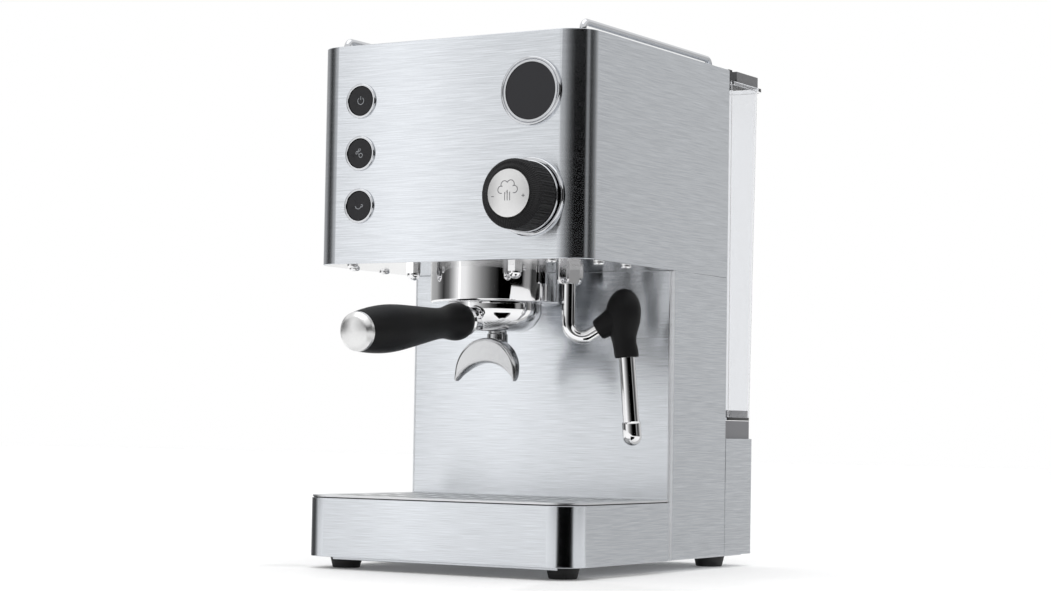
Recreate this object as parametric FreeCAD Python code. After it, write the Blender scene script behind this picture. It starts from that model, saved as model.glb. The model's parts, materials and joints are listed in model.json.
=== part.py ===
"""Pump espresso machine for a worktop: a steel column carries a boxed head with the brewing group.

Millimetres. X points to the viewer's right, Y to the back and Z up. The origin is on the worktop,
under the middle of the machine's box. Every piece is one file named after the piece.
"""
import FreeCAD, Part
import math
import os

# Clearances and sheet
SHEET = 1.2                  # stainless sheet of the casing
SEAM = 0.1                   # room round a piece that is seated in another fixed piece
RUNNING = 0.4                # room round a piece that moves
SHAFT_FIT = 0.06             # radial room of a shaft in its own hole

# Casing: head, column and base
BODY_WIDTH = 226.0
HEAD_FRONT_Y = -88.0
HEAD_DEPTH = 221.6
HEAD_HEIGHT = 158.5
CORNER_RADIUS = 20.0         # upright front corners of the head and of the drip tray
COLUMN_DEPTH = 87.9
COLUMN_HEIGHT = 209.6
COLUMN_CORNER_RADIUS = 3.0
FOLD_WIDTH = 12.0            # inward fold at the foot of the column and the pedestal
FOOT_HEIGHT = 8.2
FOOT_TOP_DIAMETER = 23.6
FOOT_TREAD_DIAMETER = 19.6
FOOT_INSET_X = 22.0
FRONT_FOOT_INSET_Y = 13.0    # behind the base plate's front edge
REAR_FOOT_INSET_Y = 33.0     # ahead of the pedestal's back
BASE_FRONT_INSET = 14.0      # base plate's front edge behind the tray front
BASE_SIDE_INSET = 13.0       # base plate's sides inside the tray
BASE_LIP_DEPTH = 2.1         # lip folded down below the base plate's front edge
TOP_PLATE_SKIRT = 9.0

# Pedestal behind the column, under the water tank
PEDESTAL_DEPTH = 51.1
PEDESTAL_HEIGHT = 88.0
PEDESTAL_CORNER_RADIUS = 8.0
SEAT_HEIGHT = 13.5
SEAT_BACK_INSET = 4.2
SEAT_CORNER_RADIUS = 4.0
SEAT_WALL = 2.5

# Water tank
TANK_INSET = 2.0              # tank's sides inside the body's
TANK_WALL = 2.0
TANK_GAP = 2.9               # tank front behind the rear panel
TANK_FOOT_DEPTH = 46.5       # front to back at the bottom
TANK_MOUTH_DEPTH = 54.5      # front to back at the rim: the back wall leans out
TANK_HEIGHT = 256.2
TANK_CORNER_RADIUS = 7.0
TANK_FLOOR = 2.2
TANK_BASE_HEIGHT = 5.4       # dark base plate inside the clear tank
RIM_SIDE = 2.0
RIM_BACK = 4.6
RIM_HEIGHT = 2.5
LID_HEIGHT = 8.2
LID_CORNER_RADIUS = 6.0
LID_WALL = 2.0
HINGE_PIN_DIAMETER = 3.0
HINGE_EAR_WIDTH = 3.2
HINGE_BAR_DEPTH = 5.6
VALVE_INSET = 33.0           # outlet valve in from the body's left side
VALVE_DIAMETER = 16.0
VALVE_DEPTH = 9.0            # how far the tank's outlet reaches into its seat

# Cup rails
RAIL_DIAMETER = 5.0
RAIL_INSET = 13.0
RAIL_HEIGHT = 9.9            # top of the bar above the top plate
RAIL_BEND = 5.0
RAIL_FRONT = 20.0            # behind the head's front
RAIL_BACK = 9.6              # ahead of the head's back
RAIL_TAIL = 4.0              # rail end below the top plate

# Front panel
BUTTON_EDGE_INSET = 40.7
BUTTON_PITCH = 38.0
TOP_BUTTON_DROP = 40.9       # first button's axis below the top
BEZEL_DIAMETER = 25.4
BUTTON_DIAMETER = 20.8
BUTTON_TRAVEL = 2.5
BUTTON_STEM_DIAMETER = 4.0
DIAL_EDGE_INSET = 41.5       # axis of the display and of the steam knob
DISPLAY_DROP = 42.1
DISPLAY_DIAMETER = 48.0
LENS_DIAMETER = 40.2
KNOB_RISE = 43.0             # knob axis above the head's bottom
KNOB_DIAMETER = 48.6
KNOB_LENGTH = 21.5
KNOB_FLUTES = 64
KNOB_FLUTE_DEPTH = 0.45
KNOB_CAP_DIAMETER = 33.0
KNOB_CAP_HEIGHT = 2.6
KNOB_RING_DIAMETER = 55.0
SPINDLE_DIAMETER = 7.8
BEZEL_FLANGE = 0.9           # rim of a bezel over the edge of its hole
BEZEL_PROUD = 1.5            # bezel ahead of the panel
BEZEL_BARREL = 12.0          # bezel behind the panel's face
DISPLAY_PROUD = 2.6
DISPLAY_BARREL = 9.0
LENS_HEIGHT = 2.0            # back of the glass behind the panel's face
LENS_LEDGE = 1.6
KNOB_BASE = 5.8              # front of the ring behind the knob
KNOB_FLUTE_RADIUS = 0.9
VALVE_NECK_RADIUS = 8.0
VALVE_SHOULDER = 8.0
VALVE_LENGTH = 42.0
VALVE_HALF = 11.0
VALVE_PORT_SETBACK = 30.0
VALVE_PORT_REACH = 17.0
PORT_RADIUS = 5.0

# Brewing group
GROUP_SHARE = 0.531          # group axis behind the head's front, of the head's overhang
COLLAR_DIAMETER = 94.0
COLLAR_HEIGHT = 26.3
LEDGE_HEIGHT = 6.0           # bayonet ledge at the collar's mouth
LUG_ROOM_HEIGHT = 8.8
LUG_SWING = 45.0             # turn that brings the lugs under the ledges
LUG_WIDTH_DEG = 34.0
LUG_HEIGHT = 6.0
LUG_REACH = 8.0              # lug beyond the bowl's wall
GASKET_WIDTH = 7.0
GASKET_HEIGHT = 7.5
SCREEN_DIAMETER = 57.0
SCREEN_HOLE_DIAMETER = 3.0
GROUP_FLANGE_HEIGHT = 8.0
BOILER_DIAMETER = 92.0
BOILER_HEIGHT = 90.0
BOILER_WALL = 2.0
STUD_DIAMETER = 6.0
NUT_FLATS = 10.0
NUT_HEIGHT = 6.0

# Portafilter
BOWL_DIAMETER = 68.0
BOWL_HEIGHT = 35.4
BOWL_WALL = 2.6
BOWL_ROUND = 17.0
BASKET_DIAMETER = 58.0
BASKET_DEPTH = 24.0
BASKET_SHEET = 1.0
HANDLE_DROOP_DEG = 5.75
HANDLE_AXIS_DROP = 13.5      # handle axis at the bowl's front, below the collar
HANDLE_START = 43.0          # from the group axis to the black grip
HANDLE_LENGTH = 129.0
HANDLE_END_DIAMETER = 27.0
NECK_DIAMETER = 16.0
FERRULE_DIAMETER = 22.0
FERRULE_LENGTH = 4.0
HANDLE_STUD_DIAMETER = 10.0
END_CAP_LENGTH = 7.2
SPOUT_WIDTH = 47.0
SPOUT_HEIGHT = 31.0
SPOUT_ARCH = 14.0            # height of the open arch between the two lips
SPOUT_DEPTH = 13.0
SPOUT_LIP = 3.6
SPOUT_NECK_DIAMETER = 15.0
SPOUT_NECK_HEIGHT = 4.4

# Steam wand
WAND_GAP = 12.0              # wand axis outside the boiler flange
WAND_TURN_DEG = 22.0         # rest direction of the bend, from +X towards the back
WAND_DIAMETER = 10.0
WAND_DROP = 50.8             # lowest point of the pipe's axis below the head
WAND_BEND = 10.5
WAND_RISE_DEG = 33.0
WAND_KNEE_REACH = 39.7
WAND_KNEE_BEND = 8.0
WAND_LEAN_DEG = 4.8
WAND_LENGTH = 84.0           # from the knee to the tube's end
GRIP_LENGTH = 45.0
GRIP_BELLY_DIAMETER = 23.0
GRIP_WAIST_DIAMETER = 14.6
GRIP_MOUTH_DIAMETER = 16.6
GRIP_DROP = 30.0             # grip's mouth below the knee, along the tube
GRIP_BOSS_DIAMETER = 15.6
GRIP_BOSS_LENGTH = 22.0
TIP_DIAMETER = 12.0
TIP_LENGTH = 17.0
TIP_SLEEVE = 7.0             # tip's grip on the tube
GLAND_FLATS = 15.0
GLAND_HEIGHT = 13.0
GLAND_LIP = 6.0
GLAND_NUT_HEIGHT = 7.0
BEAD_HEIGHT = 3.0
SCREW_RADIUS = 1.9
SCREW_LENGTH = 6.0
SCREW_INSET = 8.0

# Drip tray
TRAY_OVERHANG = 8.0          # tray front ahead of the head
TRAY_HEIGHT = 42.0
TRAY_SKIRT = 0.8             # tray front below the base plate's top
TRAY_GAP = 1.0
TRAY_REAR_ROUND = 3.0
TRAY_BOX_WALL = 2.0
GRATE_SHEET = 1.2
GRATE_LIFT = 0.7             # dark line between the tray's edge and the grate
GRATE_INSET = 0.5            # grate inside the tray's outline
GRATE_ROWS = 3
GRATE_COLUMNS = 13
GRATE_SLOT_WIDTH = 5.0
GRATE_SLOT_PITCH = 15.0
GRATE_BAR = 9.0              # bridge between two rows of slots
GRATE_MARGIN = 14.0
DRAIN_DIAMETER = 8.0
DRAIN_REACH = 14.0           # drain end ahead of the column
DRAIN_DEPTH = 11.0           # drain axis below the tray's edge
DRAIN_CLEARANCE = 2.0

# Works inside
PUMP_DIAMETER = 44.0
PUMP_LENGTH = 112.0
PUMP_PORT_DIAMETER = 12.0
PUMP_PORT_LENGTH = 8.0
MOUNT_HEIGHT = 16.0
MOUNT_LENGTH = 18.0
HOSE_DIAMETER = 9.0
HOSE_BEND = 16.0
PIPE_DIAMETER = 6.0
PIPE_BEND = 9.0
SOLENOID_SIZE = 30.0
SOLENOID_HEIGHT = 46.0
BOARD_WIDTH = 120.0
BOARD_HEIGHT = 76.0
BOARD_SHEET = 1.6
BOARD_STANDOFF = 8.0
CORD_GLAND_DIAMETER = 22.0
CORD_GLAND_BORE = 8.4
CORD_GLAND_INSET = 35.0      # gland in from the body's left side
CORD_GLAND_RISE = 26.0
CORD_GLAND_FLANGE = 2.5
ELEMENT_HOLE_RADIUS = 18.0
ELEMENT_FLANGE = 4.0
THERMOSTAT_DIAMETER = 12.0
THERMOSTAT_HEIGHT = 9.0
TERMINAL_HEIGHT = 12.0
TUBE_RADIUS = 3.5
SCREEN_BOSS_RADIUS = 8.0

# Heights and places that follow from the sizes above
HALF = BODY_WIDTH / 2
INNER_HALF = HALF - SHEET - SEAM
BASE_TOP_Z = FOOT_HEIGHT + SHEET
HEAD_BOTTOM_Z = BASE_TOP_Z + COLUMN_HEIGHT
HEAD_TOP_Z = HEAD_BOTTOM_Z + HEAD_HEIGHT
HEAD_FLOOR_Z = HEAD_BOTTOM_Z + SHEET
HEAD_REAR_Y = HEAD_FRONT_Y + HEAD_DEPTH
PANEL_INNER_Y = HEAD_REAR_Y - SHEET
COLUMN_FRONT_Y = HEAD_REAR_Y - COLUMN_DEPTH
TRAY_FRONT_Y = HEAD_FRONT_Y - TRAY_OVERHANG
TRAY_BOTTOM_Z = BASE_TOP_Z - TRAY_SKIRT
TRAY_TOP_Z = TRAY_BOTTOM_Z + TRAY_HEIGHT
TRAY_REAR_Y = COLUMN_FRONT_Y - TRAY_GAP
BASE_FRONT_Y = TRAY_FRONT_Y + BASE_FRONT_INSET
PEDESTAL_REAR_Y = HEAD_REAR_Y + PEDESTAL_DEPTH
PEDESTAL_TOP_Z = BASE_TOP_Z + PEDESTAL_HEIGHT
SEAT_TOP_Z = PEDESTAL_TOP_Z + SEAT_HEIGHT
TANK_BOTTOM_Z = SEAT_TOP_Z + RUNNING
TANK_FRONT_Y = HEAD_REAR_Y + TANK_GAP
TANK_RIM_Z = TANK_BOTTOM_Z + TANK_HEIGHT
LID_BOTTOM_Z = TANK_RIM_Z + RIM_HEIGHT + RUNNING
LID_AXIS_Z = LID_BOTTOM_Z + LID_HEIGHT / 2
LID_FRONT_Y = TANK_FRONT_Y + HINGE_BAR_DEPTH
LID_AXIS_Y = LID_FRONT_Y + LID_HEIGHT / 2
VALVE_Y = TANK_FRONT_Y + TANK_FOOT_DEPTH / 2
GROUP_Y = HEAD_FRONT_Y + GROUP_SHARE * (HEAD_DEPTH - COLUMN_DEPTH)
TANK_WIDTH = BODY_WIDTH - 2 * TANK_INSET
VALVE_X = VALVE_INSET - HALF
COLLAR_BOTTOM_Z = HEAD_BOTTOM_Z - COLLAR_HEIGHT
LEDGE_TOP_Z = COLLAR_BOTTOM_Z + LEDGE_HEIGHT
LUG_ROOM_TOP_Z = LEDGE_TOP_Z + LUG_ROOM_HEIGHT
BOWL_RADIUS = BOWL_DIAMETER / 2
BOWL_TOP_Z = LUG_ROOM_TOP_Z
BOWL_BOTTOM_Z = BOWL_TOP_Z - BOWL_HEIGHT
LUG_RADIUS = BOWL_RADIUS + LUG_REACH
LUG_ROOM_RADIUS = LUG_RADIUS + RUNNING
THROAT_RADIUS = BOWL_RADIUS + 2 * RUNNING
GASKET_BOTTOM_Z = BOWL_TOP_Z + BASKET_SHEET + RUNNING
GROUP_FACE_Z = GASKET_BOTTOM_Z + GASKET_HEIGHT
FLANGE_HALF = BOILER_DIAMETER / 2 + 4.0
STUD_OFFSET = FLANGE_HALF - STUD_DIAMETER / 2 - 4.0
BOILER_BOTTOM_Z = HEAD_FLOOR_Z + GROUP_FLANGE_HEIGHT
BOILER_TOP_Z = BOILER_BOTTOM_Z + BOILER_HEIGHT
WAND_X = max(FLANGE_HALF, COLLAR_DIAMETER / 2) + WAND_GAP
BUTTON_X = -(HALF - BUTTON_EDGE_INSET)
BUTTON_HEIGHTS = [HEAD_TOP_Z - TOP_BUTTON_DROP - i * BUTTON_PITCH for i in range(3)]
DIAL_X = HALF - DIAL_EDGE_INSET
DISPLAY_Z = HEAD_TOP_Z - DISPLAY_DROP
KNOB_Z = HEAD_BOTTOM_Z + KNOB_RISE
PUMP_Y = COLUMN_FRONT_Y + COLUMN_DEPTH / 2
PUMP_Z = BASE_TOP_Z + MOUNT_HEIGHT + PUMP_DIAMETER / 2
DRAIN_Z = TRAY_TOP_Z - DRAIN_DEPTH
SOLENOID_Y = GROUP_Y + FLANGE_HALF + SOLENOID_SIZE / 2
DRAIN_Y = COLUMN_FRONT_Y + SHEET + DRAIN_DIAMETER * 1.1
RAIL_X = HALF - RAIL_INSET
RAIL_FRONT_Y = HEAD_FRONT_Y + RAIL_FRONT
RAIL_BACK_Y = HEAD_REAR_Y - RAIL_BACK
CORD_GLAND_X = CORD_GLAND_INSET - HALF
CORD_GLAND_Z = BASE_TOP_Z + CORD_GLAND_RISE
SOCKET_RADIUS = VALVE_DIAMETER / 2 + 2 * SEAT_WALL
SOCKET_FLOOR_Z = TANK_BOTTOM_Z - VALVE_DEPTH - 1.0
SOCKET_BOTTOM_Z = SOCKET_FLOOR_Z - 2 * SEAT_WALL
GROUP_SPIGOT_RADIUS = BOWL_RADIUS + 3.0
SCREEN_Z = GASKET_BOTTOM_Z + 1.0
INLET_X = BOILER_DIAMETER / 3
INLET_Z = BOILER_BOTTOM_Z + BOILER_HEIGHT / 2
INLET_FACE_Y = GROUP_Y + BOILER_DIAMETER / 2
PIPE_TOP_Z = HEAD_BOTTOM_Z - GLAND_HEIGHT + GLAND_LIP + RUNNING + BEAD_HEIGHT
BEAD_RADIUS = WAND_DIAMETER / 2 + 1.2
GLAND_NECK_RADIUS = BEAD_RADIUS + RUNNING + 1.0
SPOUT_TOP_Z = BOWL_BOTTOM_Z - SPOUT_NECK_HEIGHT
SPOUT_TIP_Z = SPOUT_TOP_Z - SPOUT_HEIGHT
GRATE_BOTTOM_Z = TRAY_TOP_Z + GRATE_LIFT
STEAM_TAP_REACH = BOILER_DIAMETER / 2 * 0.55

X_AXIS = FreeCAD.Vector(1, 0, 0)
Y_AXIS = FreeCAD.Vector(0, 1, 0)
Z_AXIS = FreeCAD.Vector(0, 0, 1)
ORIGIN = FreeCAD.Vector(0, 0, 0)


def save(name, *solids):
    """Write one piece, or a group of like pieces, to its own file."""
    shape = solids[0] if len(solids) == 1 else Part.makeCompound(list(solids))
    shape.exportStep(os.path.join("parts", name + ".step"))


def box(x0, x1, y0, y1, z0, z1):
    return Part.makeBox(x1 - x0, y1 - y0, z1 - z0, FreeCAD.Vector(x0, y0, z0))


def rod(radius, start, axis, length):
    return Part.makeCylinder(radius, length, FreeCAD.Vector(*start), axis)


def rounded_corner(before, here, after, radius):
    """Start, middle and end of the arc that rounds the corner at here."""
    to_before = (before - here).normalize()
    to_after = (after - here).normalize()
    half_angle = to_before.getAngle(to_after) / 2
    setback = radius / math.tan(half_angle)
    bisector = (to_before + to_after).normalize()
    middle = here + bisector * (radius / math.sin(half_angle) - radius)
    return here + to_before * setback, middle, here + to_after * setback


def joined_edges(points, radii, closed):
    """Straight runs between the points, with an arc at each corner that has a radius."""
    count = len(points)
    corners = []
    for i, (here, radius) in enumerate(zip(points, radii)):
        if radius > 0:
            corners.append(rounded_corner(points[i - 1], here, points[(i + 1) % count], radius))
        else:
            corners.append((here, None, here))
    edges = []
    for i, (start, middle, end) in enumerate(corners):
        if middle is not None:
            edges.append(Part.Arc(start, middle, end).toShape())
        if i == count - 1 and not closed:
            break
        following = corners[(i + 1) % count][0]
        if (following - end).Length > 1e-6:
            edges.append(Part.makeLine(end, following))
    return Part.Wire(edges)


def outline(corners, height=0.0):
    """Closed flat wire through (x, y, radius) corners."""
    points = [FreeCAD.Vector(x, y, height) for x, y, _ in corners]
    return joined_edges(points, [radius for _, _, radius in corners], True)


def prism(corners, z0, z1):
    """Upright prism on (x, y, radius) corners."""
    return Part.Face(outline(corners, z0)).extrude(Z_AXIS * (z1 - z0))


def rounded_block(x0, x1, y0, y1, z0, z1, front_radius, back_radius):
    corners = [(x0, y0, front_radius), (x1, y0, front_radius),
               (x1, y1, back_radius), (x0, y1, back_radius)]
    return prism(corners, z0, z1)


def turned(corners):
    """Solid turned about Z from (radius, height, rounding) corners."""
    lathe = Part.Face(outline(corners)).revolve(ORIGIN, Y_AXIS, 360)
    lathe.rotate(ORIGIN, X_AXIS, 90)
    return lathe


def turned_curve(edges):
    """Solid turned about Z from edges drawn with x as radius and y as height."""
    lathe = Part.Face(Part.Wire(edges)).revolve(ORIGIN, Y_AXIS, 360)
    lathe.rotate(ORIGIN, X_AXIS, 90)
    return lathe


def smooth_curve(points, first_tangent=None, last_tangent=None):
    """One smooth edge through (x, y) points."""
    curve = Part.BSplineCurve()
    vectors = [FreeCAD.Vector(x, y, 0) for x, y in points]
    if first_tangent is None:
        curve.interpolate(vectors)
    else:
        curve.interpolate(Points=vectors, InitialTangent=FreeCAD.Vector(*first_tangent, 0),
                          FinalTangent=FreeCAD.Vector(*last_tangent, 0))
    return curve.toShape()


def flat_line(start, end):
    return Part.makeLine(FreeCAD.Vector(*start, 0), FreeCAD.Vector(*end, 0))


def bent_rod(points, radius, bend):
    """Round rod along straight runs joined by arcs of the bend radius."""
    vectors = [FreeCAD.Vector(*point) for point in points]
    inner_bends = bend if isinstance(bend, list) else [bend] * (len(points) - 2)
    bends = [0.0] + inner_bends + [0.0]
    path = joined_edges(vectors, bends, False)
    ring = Part.makeCircle(radius, vectors[0], vectors[1] - vectors[0])
    return path.makePipeShell([Part.Wire(ring)], True, False)


def to_front(shape, x, z):
    """Carry a shape turned about Z to the front panel, its +Z towards the viewer."""
    shape.rotate(ORIGIN, X_AXIS, 90)
    shape.translate(FreeCAD.Vector(x, HEAD_FRONT_Y, z))
    return shape


def hexagon(flats, z0, z1):
    corner = flats / math.sqrt(3)
    corners = [(corner * math.cos(math.radians(60 * i)), corner * math.sin(math.radians(60 * i)), 0.0)
               for i in range(6)]
    return prism(corners, z0, z1)


def sector(radius, z0, z1, middle_deg, width_deg):
    """Slice of a disc about the group axis."""
    slice_ = Part.makeCylinder(radius, z1 - z0, FreeCAD.Vector(0, 0, z0), Z_AXIS, width_deg)
    slice_.rotate(ORIGIN, Z_AXIS, middle_deg - width_deg / 2)
    return slice_


def dome_edge(radius, side, top):
    """Arc from a dome's side up to its top on the turning axis."""
    rise = top - side
    sphere = (radius ** 2 + rise ** 2) / (2 * rise)
    middle = top - sphere + math.sqrt(sphere ** 2 - radius ** 2 / 4)
    return Part.Arc(FreeCAD.Vector(radius, side, 0), FreeCAD.Vector(radius / 2, middle, 0),
                    FreeCAD.Vector(0, top, 0)).toShape()


def u_wrap(closed_y, open_y, radius, z0, z1):
    """Folded sheet round three sides of the body, its corners at closed_y."""
    inward = SHEET if open_y > closed_y else -SHEET
    inner = HALF - SHEET
    corners = [(-HALF, open_y, 0), (-HALF, closed_y, radius), (HALF, closed_y, radius), (HALF, open_y, 0),
               (inner, open_y, 0), (inner, closed_y + inward, radius - SHEET),
               (-inner, closed_y + inward, radius - SHEET), (-inner, open_y, 0)]
    return prism(corners, z0, z1)


def bottom_fold(closed_y, open_y, radius):
    """Inward fold at the foot of a folded sheet, which stands on the base plate."""
    inward = FOLD_WIDTH if open_y > closed_y else -FOLD_WIDTH
    stop = open_y - math.copysign(SHEET + SEAM, open_y - closed_y)
    edge = HALF - SHEET / 2
    inner = HALF - FOLD_WIDTH
    skin = closed_y + math.copysign(SHEET / 2, inward)
    corners = [(-edge, stop, 0), (-edge, skin, radius), (edge, skin, radius), (edge, stop, 0),
               (inner, stop, 0), (inner, closed_y + inward, 0), (-inner, closed_y + inward, 0),
               (-inner, stop, 0)]
    return prism(corners, BASE_TOP_Z, BASE_TOP_Z + SHEET)


def base_plate():
    """Steel plate under everything, with a lip folded down at its front."""
    front_half = HALF - BASE_SIDE_INSET
    rear_half = HALF - FOLD_WIDTH / 2
    rear_y = PEDESTAL_REAR_Y - FOLD_WIDTH / 2
    round_ = 6.0
    plate = prism([(-front_half, BASE_FRONT_Y, round_), (front_half, BASE_FRONT_Y, round_),
                   (front_half, COLUMN_FRONT_Y + SHEET, 0), (rear_half, COLUMN_FRONT_Y + SHEET, 0),
                   (rear_half, rear_y, round_), (-rear_half, rear_y, round_),
                   (-rear_half, COLUMN_FRONT_Y + SHEET, 0), (-front_half, COLUMN_FRONT_Y + SHEET, 0)],
                  FOOT_HEIGHT, BASE_TOP_Z)
    lip = box(-front_half + round_, front_half - round_, BASE_FRONT_Y, BASE_FRONT_Y + SHEET,
              FOOT_HEIGHT - BASE_LIP_DEPTH, FOOT_HEIGHT)
    return plate.fuse(lip).removeSplitter()


def rubber_feet():
    """Four tapered rubber feet with a recess for the screw."""
    recess = 5.0
    feet = []
    rear_y = PEDESTAL_REAR_Y - REAR_FOOT_INSET_Y
    front_y = BASE_FRONT_Y + FRONT_FOOT_INSET_Y
    for x in (-(HALF - FOOT_INSET_X), HALF - FOOT_INSET_X):
        for y in (front_y, rear_y):
            foot = turned([(recess, 0, 0), (FOOT_TREAD_DIAMETER / 2, 0, 0.8),
                           (FOOT_TOP_DIAMETER / 2, FOOT_HEIGHT, 0),
                           (0, FOOT_HEIGHT, 0), (0, FOOT_HEIGHT / 3, 0), (recess, FOOT_HEIGHT / 3, 0)])
            foot.translate(FreeCAD.Vector(x, y, 0))
            feet.append(foot)
    return feet


def column_shell():
    """Folded steel column that carries the head, with the drain's hole low in its front."""
    shell = u_wrap(COLUMN_FRONT_Y, HEAD_REAR_Y, COLUMN_CORNER_RADIUS, BASE_TOP_Z, HEAD_BOTTOM_Z)
    shell = shell.fuse(bottom_fold(COLUMN_FRONT_Y, HEAD_REAR_Y,
                                   COLUMN_CORNER_RADIUS - SHEET / 2)).removeSplitter()
    hole = rod(DRAIN_DIAMETER / 2 + SEAM, (0, COLUMN_FRONT_Y - SHEET, DRAIN_Z), Y_AXIS, 3 * SHEET)
    return shell.cut(hole)


def head_wrap():
    """Folded steel front and sides of the head, holed for buttons, display and steam knob."""
    wrap = u_wrap(HEAD_FRONT_Y, HEAD_REAR_Y, CORNER_RADIUS, HEAD_BOTTOM_Z, HEAD_TOP_Z)
    holes = [(BUTTON_X, z, BEZEL_DIAMETER / 2 - BEZEL_FLANGE) for z in BUTTON_HEIGHTS]
    holes.append((DIAL_X, DISPLAY_Z, DISPLAY_DIAMETER / 2 - BEZEL_FLANGE))
    holes.append((DIAL_X, KNOB_Z, VALVE_NECK_RADIUS))
    for x, z, radius in holes:
        wrap = wrap.cut(rod(radius + SEAM, (x, HEAD_FRONT_Y - SHEET, z), Y_AXIS, 3 * SHEET))
    return wrap


def head_plate_block(z0, z1):
    """Block that fills the head's inside from the front sheet to the rear panel."""
    return rounded_block(-INNER_HALF, INNER_HALF, HEAD_FRONT_Y + SHEET + SEAM, PANEL_INNER_Y - SEAM,
                         z0, z1, CORNER_RADIUS - SHEET - SEAM, 0)


def head_underplate():
    """Polished floor of the head: group, wand and studs pass through it, and it is open over the column."""
    plate = head_plate_block(HEAD_BOTTOM_Z, HEAD_FLOOR_Z)
    holes = [(0, GROUP_Y, GROUP_SPIGOT_RADIUS + SEAM), (WAND_X, GROUP_Y, GLAND_NECK_RADIUS + SEAM)]
    holes += [(x, y, STUD_DIAMETER / 2 + SEAM) for x, y in stud_places()]
    holes += [(x, y, SCREW_RADIUS + SEAM) for x, y in screw_places()]
    for x, y, radius in holes:
        plate = plate.cut(rod(radius, (x, y, HEAD_BOTTOM_Z - SHEET), Z_AXIS, 3 * SHEET))
    duct = box(-INNER_HALF + FOLD_WIDTH, INNER_HALF - FOLD_WIDTH, COLUMN_FRONT_Y + 4 * SHEET,
               PANEL_INNER_Y - FOLD_WIDTH,
               HEAD_BOTTOM_Z - SHEET, HEAD_FLOOR_Z + SHEET)
    return plate.cut(duct)


def top_plate():
    """Cup warming plate: a shallow lid with a folded skirt, warm air slots and the rails' holes."""
    plate = head_plate_block(HEAD_TOP_Z - TOP_PLATE_SKIRT, HEAD_TOP_Z)
    hollow = rounded_block(-INNER_HALF + SHEET, INNER_HALF - SHEET, HEAD_FRONT_Y + 2 * SHEET + SEAM,
                           PANEL_INNER_Y - SEAM - SHEET, HEAD_TOP_Z - TOP_PLATE_SKIRT, HEAD_TOP_Z - SHEET,
                           CORNER_RADIUS - 2 * SHEET - SEAM, 0)
    plate = plate.cut(hollow)
    slot_length = BODY_WIDTH / 5
    slot_width = 4.0
    slot_rows = 7
    row_pitch = HEAD_DEPTH / (slot_rows + 2)
    slots = []
    for row in range(slot_rows):
        for column in (-1, 0, 1):
            x = column * slot_length * 1.25
            y = HEAD_FRONT_Y + row_pitch * (row + 1.5)
            slots.append(rounded_block(x - slot_length / 2, x + slot_length / 2, y, y + slot_width,
                                       HEAD_TOP_Z - 2 * SHEET, HEAD_TOP_Z + SHEET, slot_width * 0.49,
                                       slot_width * 0.49))
    for x in (-RAIL_X, RAIL_X):
        for y in (RAIL_FRONT_Y, RAIL_BACK_Y):
            slots.append(rod(RAIL_DIAMETER / 2 + SEAM, (x, y, HEAD_TOP_Z - 2 * SHEET), Z_AXIS, 3 * SHEET))
    return plate.cut(Part.makeCompound(slots))


def cup_rail(x):
    """Chromed rod bent down at both ends and set in the top plate."""
    bar_z = HEAD_TOP_Z + RAIL_HEIGHT - RAIL_DIAMETER / 2
    foot_z = HEAD_TOP_Z - RAIL_TAIL
    return bent_rod([(x, RAIL_FRONT_Y, foot_z), (x, RAIL_FRONT_Y, bar_z), (x, RAIL_BACK_Y, bar_z),
                     (x, RAIL_BACK_Y, foot_z)], RAIL_DIAMETER / 2, RAIL_BEND)


def rear_panel():
    """Steel back of the head and column, with the suction hose's hole at its foot."""
    panel = box(-INNER_HALF, INNER_HALF, PANEL_INNER_Y, HEAD_REAR_Y, BASE_TOP_Z, HEAD_TOP_Z - SEAM)
    return panel.cut(rod(HOSE_DIAMETER / 2 + RUNNING, (VALVE_X, PANEL_INNER_Y - SHEET, PUMP_Z), Y_AXIS,
                         3 * SHEET))


def tank_pedestal():
    """Folded steel box behind the column, under the tank, with the cord gland's hole and cooling slots."""
    front = HEAD_REAR_Y + RUNNING
    shell = u_wrap(PEDESTAL_REAR_Y, front, PEDESTAL_CORNER_RADIUS, BASE_TOP_Z, PEDESTAL_TOP_Z)
    shell = shell.fuse(bottom_fold(PEDESTAL_REAR_Y, front, PEDESTAL_CORNER_RADIUS - SHEET / 2))
    roof = rounded_block(-HALF + SHEET / 2, HALF - SHEET / 2, front,
                         PEDESTAL_REAR_Y - SHEET / 2,
                         PEDESTAL_TOP_Z - SHEET, PEDESTAL_TOP_Z, 0, PEDESTAL_CORNER_RADIUS - SHEET / 2)
    shell = shell.fuse(roof).removeSplitter()
    shell = shell.cut(rod(SOCKET_RADIUS + SEAM, (VALVE_X, VALVE_Y, PEDESTAL_TOP_Z - 2 * SHEET), Z_AXIS,
                          3 * SHEET))
    shell = shell.cut(rod(CORD_GLAND_DIAMETER / 2 - CORD_GLAND_FLANGE + SEAM,
                          (CORD_GLAND_X, PEDESTAL_REAR_Y - 2 * SHEET, CORD_GLAND_Z), Y_AXIS, 3 * SHEET))
    slot_count = 9
    slot_width = 3.0
    slot_pitch = 10.0
    for i in range(slot_count):
        x = (i - (slot_count - 1) / 2) * slot_pitch
        shell = shell.cut(box(x - slot_width / 2, x + slot_width / 2, PEDESTAL_REAR_Y - 2 * SHEET,
                              PEDESTAL_REAR_Y + SHEET,
                              BASE_TOP_Z + PEDESTAL_HEIGHT * 0.35, BASE_TOP_Z + PEDESTAL_HEIGHT * 0.75))
    return shell


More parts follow.
